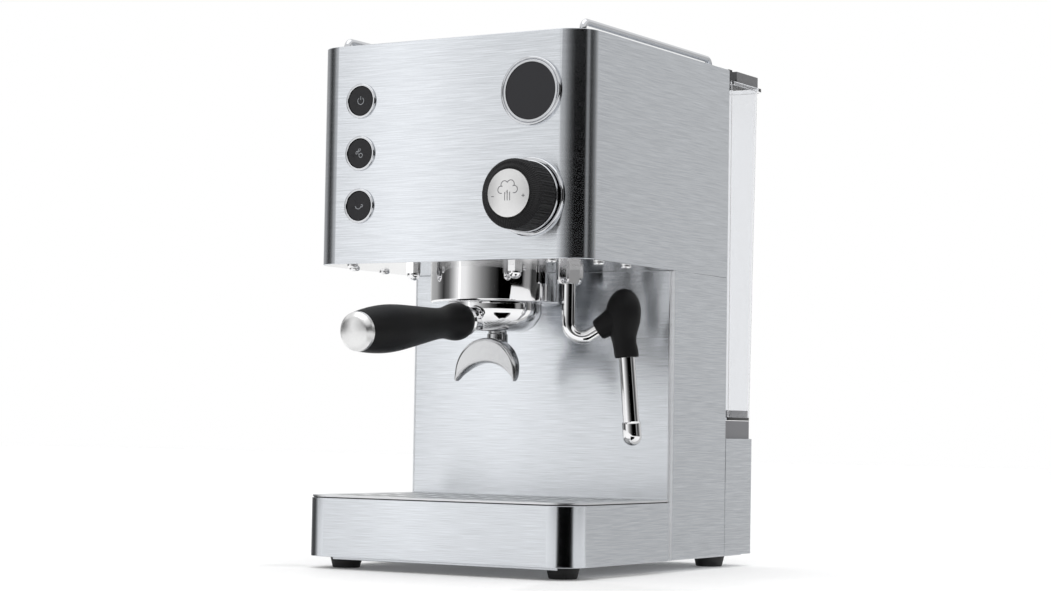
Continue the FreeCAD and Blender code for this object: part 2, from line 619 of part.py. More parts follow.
def cord_gland():
    """Plastic bush in the pedestal's back where the mains cord would enter."""
    flange = CORD_GLAND_DIAMETER / 2
    barrel = flange - CORD_GLAND_FLANGE
    bore = CORD_GLAND_BORE / 2
    bush = turned([(bore, -8, 0), (barrel, -8, 0), (barrel, 0, 0), (flange, 0, 0), (flange, 4, 1.5),
                   (bore, 4, 0.8)])
    bush.rotate(ORIGIN, X_AXIS, -90)
    bush.translate(FreeCAD.Vector(CORD_GLAND_X, PEDESTAL_REAR_Y, CORD_GLAND_Z))
    return bush


def tank_seat():
    """Dark plastic seat of the tank: a hollow tray with the outlet's socket through it."""
    front = HEAD_REAR_Y + SEAM
    back = PEDESTAL_REAR_Y - SEAT_BACK_INSET
    half = TANK_WIDTH / 2
    seat = rounded_block(-half, half, front, back, PEDESTAL_TOP_Z, SEAT_TOP_Z, SEAT_CORNER_RADIUS,
                         SEAT_CORNER_RADIUS)
    hollow = rounded_block(-half + SEAT_WALL, half - SEAT_WALL, front + SEAT_WALL, back - SEAT_WALL,
                           PEDESTAL_TOP_Z,
                           SEAT_TOP_Z - SEAT_WALL, SEAT_CORNER_RADIUS - 1, SEAT_CORNER_RADIUS - 1)
    seat = seat.cut(hollow)
    socket = rod(SOCKET_RADIUS, (VALVE_X, VALVE_Y, SOCKET_BOTTOM_Z), Z_AXIS, SEAT_TOP_Z - SOCKET_BOTTOM_Z)
    seat = seat.fuse(socket)
    well = rod(VALVE_DIAMETER / 2 + RUNNING, (VALVE_X, VALVE_Y, SOCKET_FLOOR_Z), Z_AXIS, SEAT_HEIGHT * 2)
    outlet = rod(HOSE_DIAMETER / 4, (VALVE_X, VALVE_Y, SOCKET_BOTTOM_Z - 1), Z_AXIS, SEAT_HEIGHT)
    return seat.cut(well).cut(outlet).removeSplitter()


def tank_form(inset, z0, z1):
    """Body of the tank between two heights, drawn in by inset: its back wall leans outwards."""
    wires = []
    for z in (z0, z1):
        share = (z - TANK_BOTTOM_Z) / TANK_HEIGHT
        depth = TANK_FOOT_DEPTH + (TANK_MOUTH_DEPTH - TANK_FOOT_DEPTH) * share
        half = TANK_WIDTH / 2 - inset
        radius = TANK_CORNER_RADIUS - inset
        corners = [(-half, TANK_FRONT_Y + inset, radius), (half, TANK_FRONT_Y + inset, radius),
                   (half, TANK_FRONT_Y + depth - inset, radius),
                   (-half, TANK_FRONT_Y + depth - inset, radius)]
        wires.append(outline(corners, z))
    return Part.makeLoft(wires, True, True)


def water_tank():
    """Clear tank with a floor, a leaning back wall and a flat rim."""
    tank = tank_form(0, TANK_BOTTOM_Z, TANK_RIM_Z)
    rim = rounded_block(-TANK_WIDTH / 2 - RIM_SIDE, TANK_WIDTH / 2 + RIM_SIDE, TANK_FRONT_Y - RIM_SIDE / 2,
                        TANK_FRONT_Y + TANK_MOUTH_DEPTH + RIM_BACK, TANK_RIM_Z, TANK_RIM_Z + RIM_HEIGHT,
                        TANK_CORNER_RADIUS, TANK_CORNER_RADIUS + RIM_SIDE)
    tank = tank.fuse(rim).removeSplitter()
    room = tank_form(TANK_WALL, TANK_BOTTOM_Z + TANK_FLOOR, TANK_RIM_Z + RIM_HEIGHT * 2)
    tank = tank.cut(room)
    return tank.cut(rod(VALVE_DIAMETER / 2 + SEAM, (VALVE_X, VALVE_Y, TANK_BOTTOM_Z - 1), Z_AXIS,
                        TANK_FLOOR * 2))


def tank_base():
    """Dark plate on the tank's floor with the outlet valve that plugs into the seat."""
    floor_z = TANK_BOTTOM_Z + TANK_FLOOR
    plate = tank_form(TANK_WALL + SEAM, floor_z, floor_z + TANK_BASE_HEIGHT)
    nozzle = rod(VALVE_DIAMETER / 2, (VALVE_X, VALVE_Y, TANK_BOTTOM_Z - VALVE_DEPTH), Z_AXIS,
                 VALVE_DEPTH + TANK_FLOOR)
    port = rod(VALVE_DIAMETER / 4, (VALVE_X, VALVE_Y, TANK_BOTTOM_Z - VALVE_DEPTH - 1), Z_AXIS,
               VALVE_DEPTH * 3)
    return plate.fuse(nozzle).cut(port).removeSplitter()


def lid_hinge():
    """Black bar along the tank's front rim with an ear and a pin at each end of the lid."""
    half = TANK_WIDTH / 2
    rim_top = TANK_RIM_Z + RIM_HEIGHT
    bar = box(-half, half, TANK_FRONT_Y, LID_FRONT_Y - RUNNING, rim_top, LID_BOTTOM_Z + LID_HEIGHT)
    for side in (-1, 1):
        outer = side * half
        inner = side * (half - HINGE_EAR_WIDTH)
        left = min(outer, inner)
        ear = box(left, left + HINGE_EAR_WIDTH, LID_FRONT_Y - RUNNING, LID_AXIS_Y, rim_top,
                  LID_AXIS_Z + HINGE_PIN_DIAMETER)
        ear = ear.fuse(rod(HINGE_PIN_DIAMETER, (left, LID_AXIS_Y, LID_AXIS_Z), X_AXIS, HINGE_EAR_WIDTH))
        pin = rod(HINGE_PIN_DIAMETER / 2, (min(outer, inner - side * 2 * HINGE_EAR_WIDTH), LID_AXIS_Y,
                                           LID_AXIS_Z),
                  X_AXIS, 3 * HINGE_EAR_WIDTH)
        bar = bar.fuse(ear).fuse(pin)
    return bar.removeSplitter()


def tank_lid():
    """Lid of the tank: hollow below, with a rounded front edge that turns about the hinge pins."""
    half = TANK_WIDTH / 2
    back = TANK_FRONT_Y + TANK_MOUTH_DEPTH
    top = LID_BOTTOM_Z + LID_HEIGHT
    ear_room = HINGE_EAR_WIDTH + RUNNING
    ear_back = LID_AXIS_Y + HINGE_PIN_DIAMETER + RUNNING
    lid = prism([(-half + ear_room, LID_AXIS_Y, 0), (half - ear_room, LID_AXIS_Y, 0),
                 (half - ear_room, ear_back, 0),
                 (half, ear_back, 0), (half, back, LID_CORNER_RADIUS), (-half, back, LID_CORNER_RADIUS),
                 (-half, ear_back, 0), (-half + ear_room, ear_back, 0)], LID_BOTTOM_Z, top)
    knuckle = rod(LID_HEIGHT / 2, (-half + ear_room, LID_AXIS_Y, LID_AXIS_Z), X_AXIS, 2 * (half - ear_room))
    lid = lid.fuse(knuckle).removeSplitter()
    hollow = rounded_block(-half + 2 * ear_room + LID_WALL, half - 2 * ear_room - LID_WALL,
                           LID_AXIS_Y + LID_HEIGHT / 2 + LID_WALL,
                           back - LID_WALL, LID_BOTTOM_Z, top - LID_WALL, 0, LID_CORNER_RADIUS - LID_WALL)
    lid = lid.cut(hollow)
    for side in (-1, 1):
        start = side * (half - HINGE_EAR_WIDTH) - 3 * HINGE_EAR_WIDTH
        lid = lid.cut(rod(HINGE_PIN_DIAMETER / 2 + SHAFT_FIT, (start, LID_AXIS_Y, LID_AXIS_Z), X_AXIS,
                          6 * HINGE_EAR_WIDTH))
    return lid


def button_bezel(z):
    """Chromed ring through the front panel that guides one button."""
    outer = BEZEL_DIAMETER / 2
    barrel = outer - BEZEL_FLANGE
    bore = BUTTON_DIAMETER / 2 + RUNNING
    ring = turned([(bore, -BEZEL_BARREL, 0), (barrel, -BEZEL_BARREL, 0), (barrel, 0, 0), (outer, 0, 0),
                   (outer, BEZEL_PROUD, 0.9), (bore, BEZEL_PROUD, 0.5)])
    return to_front(ring, BUTTON_X, z)


def button_cap(z):
    """Button with a slightly dished face and a stem into its switch."""
    radius = BUTTON_DIAMETER / 2
    stem = BUTTON_STEM_DIAMETER / 2
    back = -BEZEL_BARREL + BUTTON_TRAVEL + 1.0
    cap = turned([(0, -BEZEL_BARREL - 1.0, 0), (stem, -BEZEL_BARREL - 1.0, 0), (stem, back, 0),
                  (radius, back, 0),
                  (radius, BEZEL_PROUD - 0.4, 0.6), (0, BEZEL_PROUD - 0.6, 0)])
    return to_front(cap, BUTTON_X, z)


def button_switch(z):
    """Switch on the back of a bezel, holed for the button's stem."""
    radius = BEZEL_DIAMETER / 2 - BEZEL_FLANGE
    hole = BUTTON_STEM_DIAMETER / 2 + SHAFT_FIT
    depth = BUTTON_TRAVEL * 2.2
    body = turned([(hole, -BEZEL_BARREL, 0), (radius, -BEZEL_BARREL, 0),
                   (radius, -BEZEL_BARREL - 2 * depth, 0),
                   (0, -BEZEL_BARREL - 2 * depth, 0), (0, -BEZEL_BARREL - depth, 0),
                   (hole, -BEZEL_BARREL - depth, 0)])
    return to_front(body, BUTTON_X, z)


def display_bezel():
    """Chromed double ring round the display, with a ledge for the glass."""
    outer = DISPLAY_DIAMETER / 2
    barrel = outer - BEZEL_FLANGE
    bore = LENS_DIAMETER / 2 + SEAM
    groove = (outer + bore) / 2
    ring = turned([(bore - LENS_LEDGE, -LENS_HEIGHT, 0), (bore - LENS_LEDGE, -DISPLAY_BARREL, 0),
                   (barrel, -DISPLAY_BARREL, 0), (barrel, 0, 0),
                   (outer, 0, 0), (outer, DISPLAY_PROUD, 1.0), (groove + 0.5, DISPLAY_PROUD, 0.3),
                   (groove, DISPLAY_PROUD - 0.9, 0), (groove - 0.5, DISPLAY_PROUD - 0.2, 0.3),
                   (bore, DISPLAY_PROUD - 0.2, 0), (bore, -LENS_HEIGHT, 0)])
    return to_front(ring, DIAL_X, DISPLAY_Z)


def display_lens():
    """Flat dark glass of the display."""
    glass = turned([(0, -LENS_HEIGHT, 0), (LENS_DIAMETER / 2, -LENS_HEIGHT, 0),
                    (LENS_DIAMETER / 2, DISPLAY_PROUD - 0.6, 0.3), (0, DISPLAY_PROUD - 0.6, 0)])
    return to_front(glass, DIAL_X, DISPLAY_Z)


def display_module():
    """Display behind the glass on its round board."""
    board = DISPLAY_DIAMETER / 2 - BEZEL_FLANGE
    core = LENS_DIAMETER / 2 - LENS_LEDGE - SEAM
    module = turned([(0, -LENS_HEIGHT, 0), (core, -LENS_HEIGHT, 0), (core, -DISPLAY_BARREL, 0),
                     (board, -DISPLAY_BARREL, 0),
                     (board, -DISPLAY_BARREL - BOARD_SHEET, 0), (0, -DISPLAY_BARREL - BOARD_SHEET, 0)])
    return to_front(module, DIAL_X, DISPLAY_Z)


def knob_base_ring():
    """Chromed ring against the panel behind the steam knob, with a deep shadow groove."""
    outer = KNOB_RING_DIAMETER / 2
    collar = KNOB_DIAMETER / 2 + 0.6
    groove = KNOB_DIAMETER / 2 - 2.0
    bore = VALVE_NECK_RADIUS + SEAM
    ring = turned([(bore, 0, 0), (outer, 0, 0), (outer, 2.6, 1.2), (groove, 2.6, 0), (groove, 4.2, 0),
                   (collar, 4.2, 0), (collar, KNOB_BASE, 0.5), (bore, KNOB_BASE, 0)])
    return to_front(ring, DIAL_X, KNOB_Z)


def knob_grip():
    """Black fluted grip of the steam knob."""
    radius = KNOB_DIAMETER / 2
    start = KNOB_BASE + RUNNING
    front = start + KNOB_LENGTH
    seat = KNOB_CAP_DIAMETER / 2 + SEAM
    grip = turned([(SPINDLE_DIAMETER / 2 + SHAFT_FIT, start, 0), (radius - 1.0, start, 0),
                   (radius, start + 1.0, 0),
                   (radius, front - 3.0, 2.5), (seat + 1.0, front, 0.5), (seat, front, 0),
                   (seat, front - 2.0, 0),
                   (SPINDLE_DIAMETER / 2 + SHAFT_FIT, front - 2.0, 0)])
    flutes = []
    for i in range(KNOB_FLUTES):
        angle = 2 * math.pi * i / KNOB_FLUTES
        reach = radius + KNOB_FLUTE_RADIUS - KNOB_FLUTE_DEPTH
        flutes.append(rod(KNOB_FLUTE_RADIUS, (reach * math.cos(angle), reach * math.sin(angle), start - 1),
                          Z_AXIS, KNOB_LENGTH + 2))
    return to_front(grip.cut(Part.makeCompound(flutes)), DIAL_X, KNOB_Z)


def knob_cap():
    """Satin chromed cap set in the front of the steam knob."""
    radius = KNOB_CAP_DIAMETER / 2
    base = KNOB_BASE + RUNNING + KNOB_LENGTH - 2.0
    front = base + 2.0 + KNOB_CAP_HEIGHT
    crown = dome_edge(radius, front - 1.4, front)
    cap = turned_curve([flat_line((0, base), (radius, base)),
                        flat_line((radius, base), (radius, front - 1.4)), crown,
                        flat_line((0, front), (0, base))])
    return to_front(cap, DIAL_X, KNOB_Z)


def knob_spindle():
    """Valve spindle that the knob turns."""
    tip = -VALVE_LENGTH + 6.0
    front = KNOB_BASE + RUNNING + KNOB_LENGTH - 2.0
    return to_front(rod(SPINDLE_DIAMETER / 2, (0, 0, tip), Z_AXIS, front - tip), DIAL_X, KNOB_Z)


def steam_valve():
    """Brass steam valve held in the panel by its neck, with a port above and a port below."""
    neck = rod(VALVE_NECK_RADIUS, (0, 0, -SHEET), Z_AXIS, SHEET + KNOB_BASE)
    shoulder = rod(VALVE_NECK_RADIUS + 4.0, (0, 0, -VALVE_SHOULDER), Z_AXIS, VALVE_SHOULDER - SHEET)
    block = box(-VALVE_HALF, VALVE_HALF, -VALVE_HALF, VALVE_HALF, -VALVE_LENGTH, -VALVE_SHOULDER)
    ports = box(-PORT_RADIUS, PORT_RADIUS, -VALVE_PORT_REACH, VALVE_PORT_REACH,
                -VALVE_PORT_SETBACK - PORT_RADIUS, -VALVE_PORT_SETBACK + PORT_RADIUS)
    body = neck.fuse(shoulder).fuse(block).fuse(ports)
    body = body.cut(rod(SPINDLE_DIAMETER / 2 + SHAFT_FIT, (0, 0, -VALVE_LENGTH + 5.0), Z_AXIS,
                        VALVE_LENGTH + 20))
    return to_front(body.removeSplitter(), DIAL_X, KNOB_Z)


def at_group(shape):
    shape.translate(FreeCAD.Vector(0, GROUP_Y, 0))
    return shape


def stud_places():
    return [(x, GROUP_Y + y) for x in (-STUD_OFFSET, STUD_OFFSET) for y in (-STUD_OFFSET, STUD_OFFSET)]


def screw_places():
    front = HEAD_FRONT_Y + SHEET + SCREW_INSET
    middle = (front + GROUP_Y) / 2
    edge = HALF - SHEET - SCREW_INSET
    return [(side * x, y) for side in (-1, 1)
            for x, y in ((edge - CORNER_RADIUS, front), (edge, middle), (edge, GROUP_Y + SCREW_INSET))]


def group_collar():
    """Chromed collar below the head: its ledges hold the portafilter's lugs as a bayonet."""
    outer = COLLAR_DIAMETER / 2
    bore = GROUP_SPIGOT_RADIUS + SEAM
    ring = turned([(THROAT_RADIUS, COLLAR_BOTTOM_Z, 0.8), (outer, COLLAR_BOTTOM_Z, 1.6),
                   (outer, HEAD_BOTTOM_Z, 0),
                   (bore, HEAD_BOTTOM_Z, 0), (bore, LUG_ROOM_TOP_Z, 0),
                   (LUG_ROOM_RADIUS, LUG_ROOM_TOP_Z, 0),
                   (LUG_ROOM_RADIUS, LEDGE_TOP_Z, 0), (THROAT_RADIUS, LEDGE_TOP_Z, 0)])
    for middle in (-LUG_SWING, 180 - LUG_SWING):
        ring = ring.cut(sector(LUG_ROOM_RADIUS, COLLAR_BOTTOM_Z - 1, LEDGE_TOP_Z + 1, middle,
                               LUG_WIDTH_DEG + 6))
    return at_group(ring)


def group_head():
    """Brass group: a spigot into the collar and a square flange that carries the boiler and the valve."""
    flange = rounded_block(-FLANGE_HALF, FLANGE_HALF, -FLANGE_HALF, FLANGE_HALF + SOLENOID_SIZE,
                           HEAD_FLOOR_Z, BOILER_BOTTOM_Z, 8, 8)
    spigot = turned([(0, GROUP_FACE_Z, 0), (GROUP_SPIGOT_RADIUS, GROUP_FACE_Z, 0),
                     (GROUP_SPIGOT_RADIUS, HEAD_FLOOR_Z, 0), (0, HEAD_FLOOR_Z, 0)])
    boss = rod(SCREEN_BOSS_RADIUS, (0, 0, SCREEN_Z + SHEET), Z_AXIS, GROUP_FACE_Z - SCREEN_Z - SHEET)
    body = flange.fuse(spigot).fuse(boss).removeSplitter()
    at_group(body)
    for x, y in stud_places():
        body = body.cut(rod(STUD_DIAMETER / 2 + SEAM, (x, y, HEAD_FLOOR_Z - 1), Z_AXIS,
                            GROUP_FLANGE_HEIGHT + 2))
    body = body.cut(rod(DRAIN_DIAMETER / 2, (0, DRAIN_Y, HEAD_FLOOR_Z - 1), Z_AXIS,
                        GROUP_FLANGE_HEIGHT + 2))
    return body


def group_gasket():
    """Rubber ring that the filter basket's rim seals against."""
    outer = GROUP_SPIGOT_RADIUS - SEAM
    return at_group(turned([(outer - GASKET_WIDTH, GASKET_BOTTOM_Z, 0), (outer, GASKET_BOTTOM_Z, 0),
                            (outer, GROUP_FACE_Z, 0), (outer - GASKET_WIDTH, GROUP_FACE_Z, 0)]))


def shower_screen():
    """Perforated steel disc on the group's boss, held by its centre screw."""
    disc = rod(SCREEN_DIAMETER / 2, (0, 0, SCREEN_Z), Z_AXIS, SHEET)
    holes = []
    for ring, count in ((0.45, 8), (0.72, 14)):
        for i in range(count):
            angle = 2 * math.pi * i / count
            reach = ring * SCREEN_DIAMETER / 2
            holes.append(rod(SCREEN_HOLE_DIAMETER / 2,
                             (reach * math.cos(angle), reach * math.sin(angle), SCREEN_Z - 1),
                             Z_AXIS, SHEET + 2))
    screw = rod(SCREEN_BOSS_RADIUS / 2, (0, 0, SCREEN_Z - 2), Z_AXIS, 2)
    return at_group(disc.cut(Part.makeCompound(holes)).fuse(screw).removeSplitter())


def boiler():
    """Brewing boiler: a steel pot upside down on the group, with the water inlet's boss at its back."""
    outer = BOILER_DIAMETER / 2
    pot = turned([(outer - BOILER_WALL, BOILER_BOTTOM_Z, 0), (outer, BOILER_BOTTOM_Z, 0),
                  (outer, BOILER_TOP_Z, 5.0),
                  (ELEMENT_HOLE_RADIUS, BOILER_TOP_Z, 0),
                  (ELEMENT_HOLE_RADIUS, BOILER_TOP_Z - BOILER_WALL, 0),
                  (outer - BOILER_WALL, BOILER_TOP_Z - BOILER_WALL, 3.0)])
    at_group(pot)
    boss = rod(PORT_RADIUS, (INLET_X, GROUP_Y, INLET_Z), Y_AXIS, INLET_FACE_Y - GROUP_Y)
    boss = boss.cut(rod(outer - BOILER_WALL / 2, (0, GROUP_Y, BOILER_BOTTOM_Z), Z_AXIS, BOILER_HEIGHT))
    return pot.fuse(boss).removeSplitter()


def heating_element():
    """Element in the boiler: flange, bent heating tube and two terminals."""
    flange = rod(ELEMENT_HOLE_RADIUS + ELEMENT_FLANGE, (0, 0, BOILER_TOP_Z), Z_AXIS, ELEMENT_FLANGE)
    leg = ELEMENT_HOLE_RADIUS * 2 / 3
    low = BOILER_BOTTOM_Z + BOILER_HEIGHT * 0.2
    tube = bent_rod([(-leg, 0, BOILER_TOP_Z + 2), (-leg, 0, low), (leg, 0, low),
                     (leg, 0, BOILER_TOP_Z + 2)],
                    TUBE_RADIUS, leg * 0.95)
    element = flange.fuse(tube)
    for side in (-1, 1):
        element = element.fuse(rod(TUBE_RADIUS * 0.8, (side * leg, 0, BOILER_TOP_Z), Z_AXIS,
                                   ELEMENT_FLANGE + TERMINAL_HEIGHT))
    return at_group(element.removeSplitter())


def thermostats():
    """Two thermostats clamped on the boiler's top."""
    cans = []
    reach = (ELEMENT_HOLE_RADIUS + ELEMENT_FLANGE + BOILER_DIAMETER / 2) / 2 - BOILER_WALL
    for side in (-1, 1):
        can = turned([(0, 0, 0), (THERMOSTAT_DIAMETER / 2, 0, 0),
                      (THERMOSTAT_DIAMETER / 2, THERMOSTAT_HEIGHT, 1.0),
                      (0, THERMOSTAT_HEIGHT, 0)])
        can.translate(FreeCAD.Vector(side * reach, GROUP_Y, BOILER_TOP_Z))
        cans.append(can)
    return cans


def dome_nuts():
    """Four studs with hexagonal dome nuts that clamp the group through the head's floor."""
    nuts = []
    for x, y in stud_places():
        nut = hexagon(NUT_FLATS, -NUT_HEIGHT, 0)
        dome = turned([(0, -NUT_HEIGHT - NUT_FLATS * 0.52, 0),
                       (NUT_FLATS * 0.46, -NUT_HEIGHT - NUT_FLATS * 0.52, NUT_FLATS * 0.44),
                       (NUT_FLATS * 0.46, -NUT_HEIGHT, 0), (0, -NUT_HEIGHT, 0)])
        stud = rod(STUD_DIAMETER / 2, (0, 0, 0), Z_AXIS, SHEET + GROUP_FLANGE_HEIGHT)
        nut = nut.fuse(dome).fuse(stud).removeSplitter()
        nut.translate(FreeCAD.Vector(x, y, HEAD_BOTTOM_Z))
        nuts.append(nut)
    return nuts


def underside_screws():
    """Pan head screws in the head's floor."""
    screws = []
    for x, y in screw_places():
        head = 2 * SCREW_RADIUS
        screw = turned([(0, -0.6 * head, 0), (head, -0.6 * head, 0.4 * head), (head, 0, 0),
                        (SCREW_RADIUS, 0, 0),
                        (SCREW_RADIUS, SCREW_LENGTH, 0), (0, SCREW_LENGTH, 0)])
        screw.translate(FreeCAD.Vector(x, y, HEAD_BOTTOM_Z))
        screws.append(screw)
    return screws


def along_handle(shape):
    """Carry a shape turned about Z to the handle's drooping axis, its +Z away from the group."""
    shape.rotate(ORIGIN, X_AXIS, 90 + HANDLE_DROOP_DEG)
    shape.translate(FreeCAD.Vector(0, GROUP_Y - BOWL_RADIUS, COLLAR_BOTTOM_Z - HANDLE_AXIS_DROP))
    return shape


def portafilter_body():
    """Chromed brass bowl with bayonet lugs and the neck that carries the handle."""
    rim = BOWL_RADIUS - BOWL_WALL
    bowl = turned([(0, BOWL_BOTTOM_Z, 0), (BOWL_RADIUS, BOWL_BOTTOM_Z, BOWL_ROUND),
                   (BOWL_RADIUS, BOWL_TOP_Z, 0.6),
                   (0, BOWL_TOP_Z, 0)])
    lug_z = LEDGE_TOP_Z + RUNNING
    for middle in (0, 180):
        bowl = bowl.fuse(sector(LUG_RADIUS, lug_z, lug_z + LUG_HEIGHT, middle, LUG_WIDTH_DEG))
    at_group(bowl)
    root = -BOWL_RADIUS / 2
    stop = HANDLE_START - BOWL_RADIUS - FERRULE_LENGTH
    neck = turned([(0, root, 0), (NECK_DIAMETER / 2, root, 0), (NECK_DIAMETER / 2, stop - 3, 1.5),
                   (FERRULE_DIAMETER / 2 - 1.5, stop, 0), (0, stop, 0)])
    bowl = bowl.fuse(along_handle(neck))
    room = turned([(0, BOWL_BOTTOM_Z + BOWL_WALL, 0),
                   (rim, BOWL_BOTTOM_Z + BOWL_WALL, BOWL_ROUND - BOWL_WALL),
                   (rim, BOWL_TOP_Z + 1, 0), (0, BOWL_TOP_Z + 1, 0)])
    outlet = rod(SPOUT_NECK_DIAMETER / 4, (0, 0, BOWL_BOTTOM_Z - 1), Z_AXIS, 2 * BOWL_WALL + 2)
    return bowl.cut(at_group(room)).cut(at_group(outlet)).removeSplitter()


def filter_basket():
    """Pressed steel basket that hangs by its rim in the bowl."""
    outer = BASKET_DIAMETER / 2
    rim = BOWL_RADIUS - 0.5
    inner = outer - BASKET_SHEET
    top = BOWL_TOP_Z + BASKET_SHEET
    floor = BOWL_TOP_Z - BASKET_DEPTH
    return at_group(turned([(0, floor, 0), (outer, floor, 4.0), (outer, BOWL_TOP_Z, 0),
                            (rim, BOWL_TOP_Z, 0), (rim, top, 0),
                            (inner, top, 0), (inner, floor + BASKET_SHEET, 3.0),
                            (0, floor + BASKET_SHEET, 0)]))


def handle_ferrule():
    """Chromed ring at the root of the grip, on the stud that screws into the grip."""
    base = HANDLE_START - BOWL_RADIUS - FERRULE_LENGTH
    radius = FERRULE_DIAMETER / 2
    return along_handle(turned([(0, base, 0), (radius - 0.8, base, 0),
                                (radius, base + FERRULE_LENGTH / 2, 0.6),
                                (radius - 0.8, base + FERRULE_LENGTH, 0),
                                (HANDLE_STUD_DIAMETER / 2, base + FERRULE_LENGTH, 0),
                                (HANDLE_STUD_DIAMETER / 2, base + FERRULE_LENGTH + 24, 0),
                                (0, base + FERRULE_LENGTH + 24, 0)]))


def portafilter_handle():
    """Black grip: a bulge at its root, a slim waist and a full belly before the end cap."""
    root = HANDLE_START - BOWL_RADIUS
    end = root + HANDLE_LENGTH
    radius = HANDLE_END_DIAMETER / 2
    hole = HANDLE_STUD_DIAMETER / 2 + SEAM
    belly = smooth_curve([(radius * 0.74, root), (radius * 0.95, root + 0.04 * HANDLE_LENGTH),
                          (radius * 0.84, root + 0.18 * HANDLE_LENGTH),
                          (radius * 0.86, root + 0.32 * HANDLE_LENGTH),
                          (radius * 1.1, root + 0.56 * HANDLE_LENGTH),
                          (radius * 1.22, root + 0.74 * HANDLE_LENGTH),
                          (radius * 1.16, root + 0.88 * HANDLE_LENGTH), (radius, end)])
    grip = turned_curve([flat_line((0, root), (radius * 0.74, root)), belly,
                         flat_line((radius, end), (0, end)),
                         flat_line((0, end), (0, root))])
    return along_handle(grip.cut(rod(hole, (0, 0, root - 1), Z_AXIS, 26)))


def handle_end_cap():
    """Chromed cap on the end of the grip with a domed satin centre."""
    base = HANDLE_START - BOWL_RADIUS + HANDLE_LENGTH
    radius = HANDLE_END_DIAMETER / 2
    centre = radius * 0.76
    front = base + END_CAP_LENGTH
    dome = dome_edge(centre, front - 1.9, front)
    edges = [flat_line((0, base), (radius, base)), flat_line((radius, base), (radius - 0.3, base + 2.2)),
             flat_line((radius - 0.3, base + 2.2), (centre, front - 1.9)), dome,
             flat_line((0, front), (0, base))]
    return along_handle(turned_curve(edges))


def crescent(width, top, arch_top, lip, depth):
    """Upright crescent across X, centred on Y, between an outer arc and the open arch below it."""
    half = width / 2
    low = SPOUT_TIP_Z + lip / 2
    points = [FreeCAD.Vector(x, depth / 2, z) for x, z in
              ((-half, low), (0, top), (half, low), (half - lip / 2, SPOUT_TIP_Z), (half - lip, low),
               (0, arch_top),
               (-half + lip, low), (-half + lip / 2, SPOUT_TIP_Z))]
    edges = [Part.Arc(points[i], points[i + 1], points[(i + 2) % len(points)]).toShape()
             for i in range(0, len(points), 2)]
    return Part.Face(Part.Wire(edges)).extrude(-Y_AXIS * depth)


def twin_spout():
    """Chromed double spout: a thick crescent with a channel on its underside, screwed under the bowl."""
    body = crescent(SPOUT_WIDTH, SPOUT_TOP_Z, SPOUT_TIP_Z + SPOUT_ARCH, SPOUT_LIP, SPOUT_DEPTH)
    crown = [edge for edge in body.Edges if edge.BoundBox.YLength < 0.01
             and edge.BoundBox.ZMax > SPOUT_TOP_Z - 0.5]
    body = body.makeFillet(1.2, crown)
    roof = SPOUT_LIP * 0.55
    edge = SPOUT_WIDTH / 2 - roof
    low = SPOUT_TIP_Z + SPOUT_LIP / 2
    depth = SPOUT_DEPTH * 0.55
    left = FreeCAD.Vector(-edge, depth / 2, low)
    right = FreeCAD.Vector(edge, depth / 2, low)
    arch = Part.Arc(left, FreeCAD.Vector(0, depth / 2, SPOUT_TOP_Z - 2 * roof), right).toShape()
    below = Z_AXIS * -SPOUT_LIP
    sides = Part.makePolygon([right, right + below, left + below, left])
    channel = Part.Face(Part.Wire([arch] + sides.Edges)).extrude(-Y_AXIS * depth)
    neck = rod(SPOUT_NECK_DIAMETER / 2, (0, 0, SPOUT_TOP_Z - 4), Z_AXIS, SPOUT_NECK_HEIGHT + 4)
    bore = rod(SPOUT_NECK_DIAMETER / 4, (0, 0, SPOUT_TOP_Z - SPOUT_HEIGHT / 2), Z_AXIS, SPOUT_HEIGHT)
    return at_group(body.fuse(neck).cut(channel).cut(bore).removeSplitter())


def along_wand(shape):
    """Carry a shape drawn in the wand's own upright plane to its place and rest direction."""
    shape.rotate(ORIGIN, Z_AXIS, WAND_TURN_DEG)
    shape.translate(FreeCAD.Vector(WAND_X, GROUP_Y, 0))
    return shape


def wand_points():
    """Top, bend corner, knee corner and end of the pipe's axis in the wand's own plane."""
    turn = math.radians(90 + WAND_RISE_DEG)
    corner_z = HEAD_BOTTOM_Z - WAND_DROP + WAND_BEND - WAND_BEND * math.tan(turn / 2)
    knee = (WAND_KNEE_REACH, 0, corner_z + WAND_KNEE_REACH * math.tan(math.radians(WAND_RISE_DEG)))
    lean = math.radians(WAND_LEAN_DEG)
    end = (knee[0] + WAND_LENGTH * math.sin(lean), 0, knee[2] - WAND_LENGTH * math.cos(lean))
    return (0, 0, PIPE_TOP_Z), (0, 0, corner_z), knee, end


def wand_tube(extra):
    return bent_rod(wand_points(), WAND_DIAMETER / 2 + extra, [WAND_BEND, WAND_KNEE_BEND])


def wand_pipe():
    """One bent steam pipe from the gland to the tip, with a bead that holds it in the gland."""
    bead = turned([(0, PIPE_TOP_Z - BEAD_HEIGHT, 0), (BEAD_RADIUS, PIPE_TOP_Z - BEAD_HEIGHT, 0.5),
                   (BEAD_RADIUS, PIPE_TOP_Z, 0.5), (0, PIPE_TOP_Z, 0)])
    return along_wand(wand_tube(0).fuse(bead).removeSplitter())


def along_tube(shape, drop):
    """Carry a shape turned about Z to the straight lower tube, its +Z up the tube, drop below the knee."""
    knee = wand_points()[2]
    lean = math.radians(WAND_LEAN_DEG)
    shape.rotate(ORIGIN, Y_AXIS, -WAND_LEAN_DEG)
    shape.translate(FreeCAD.Vector(knee[0] + drop * math.sin(lean), 0, knee[2] - drop * math.cos(lean)))
    return shape


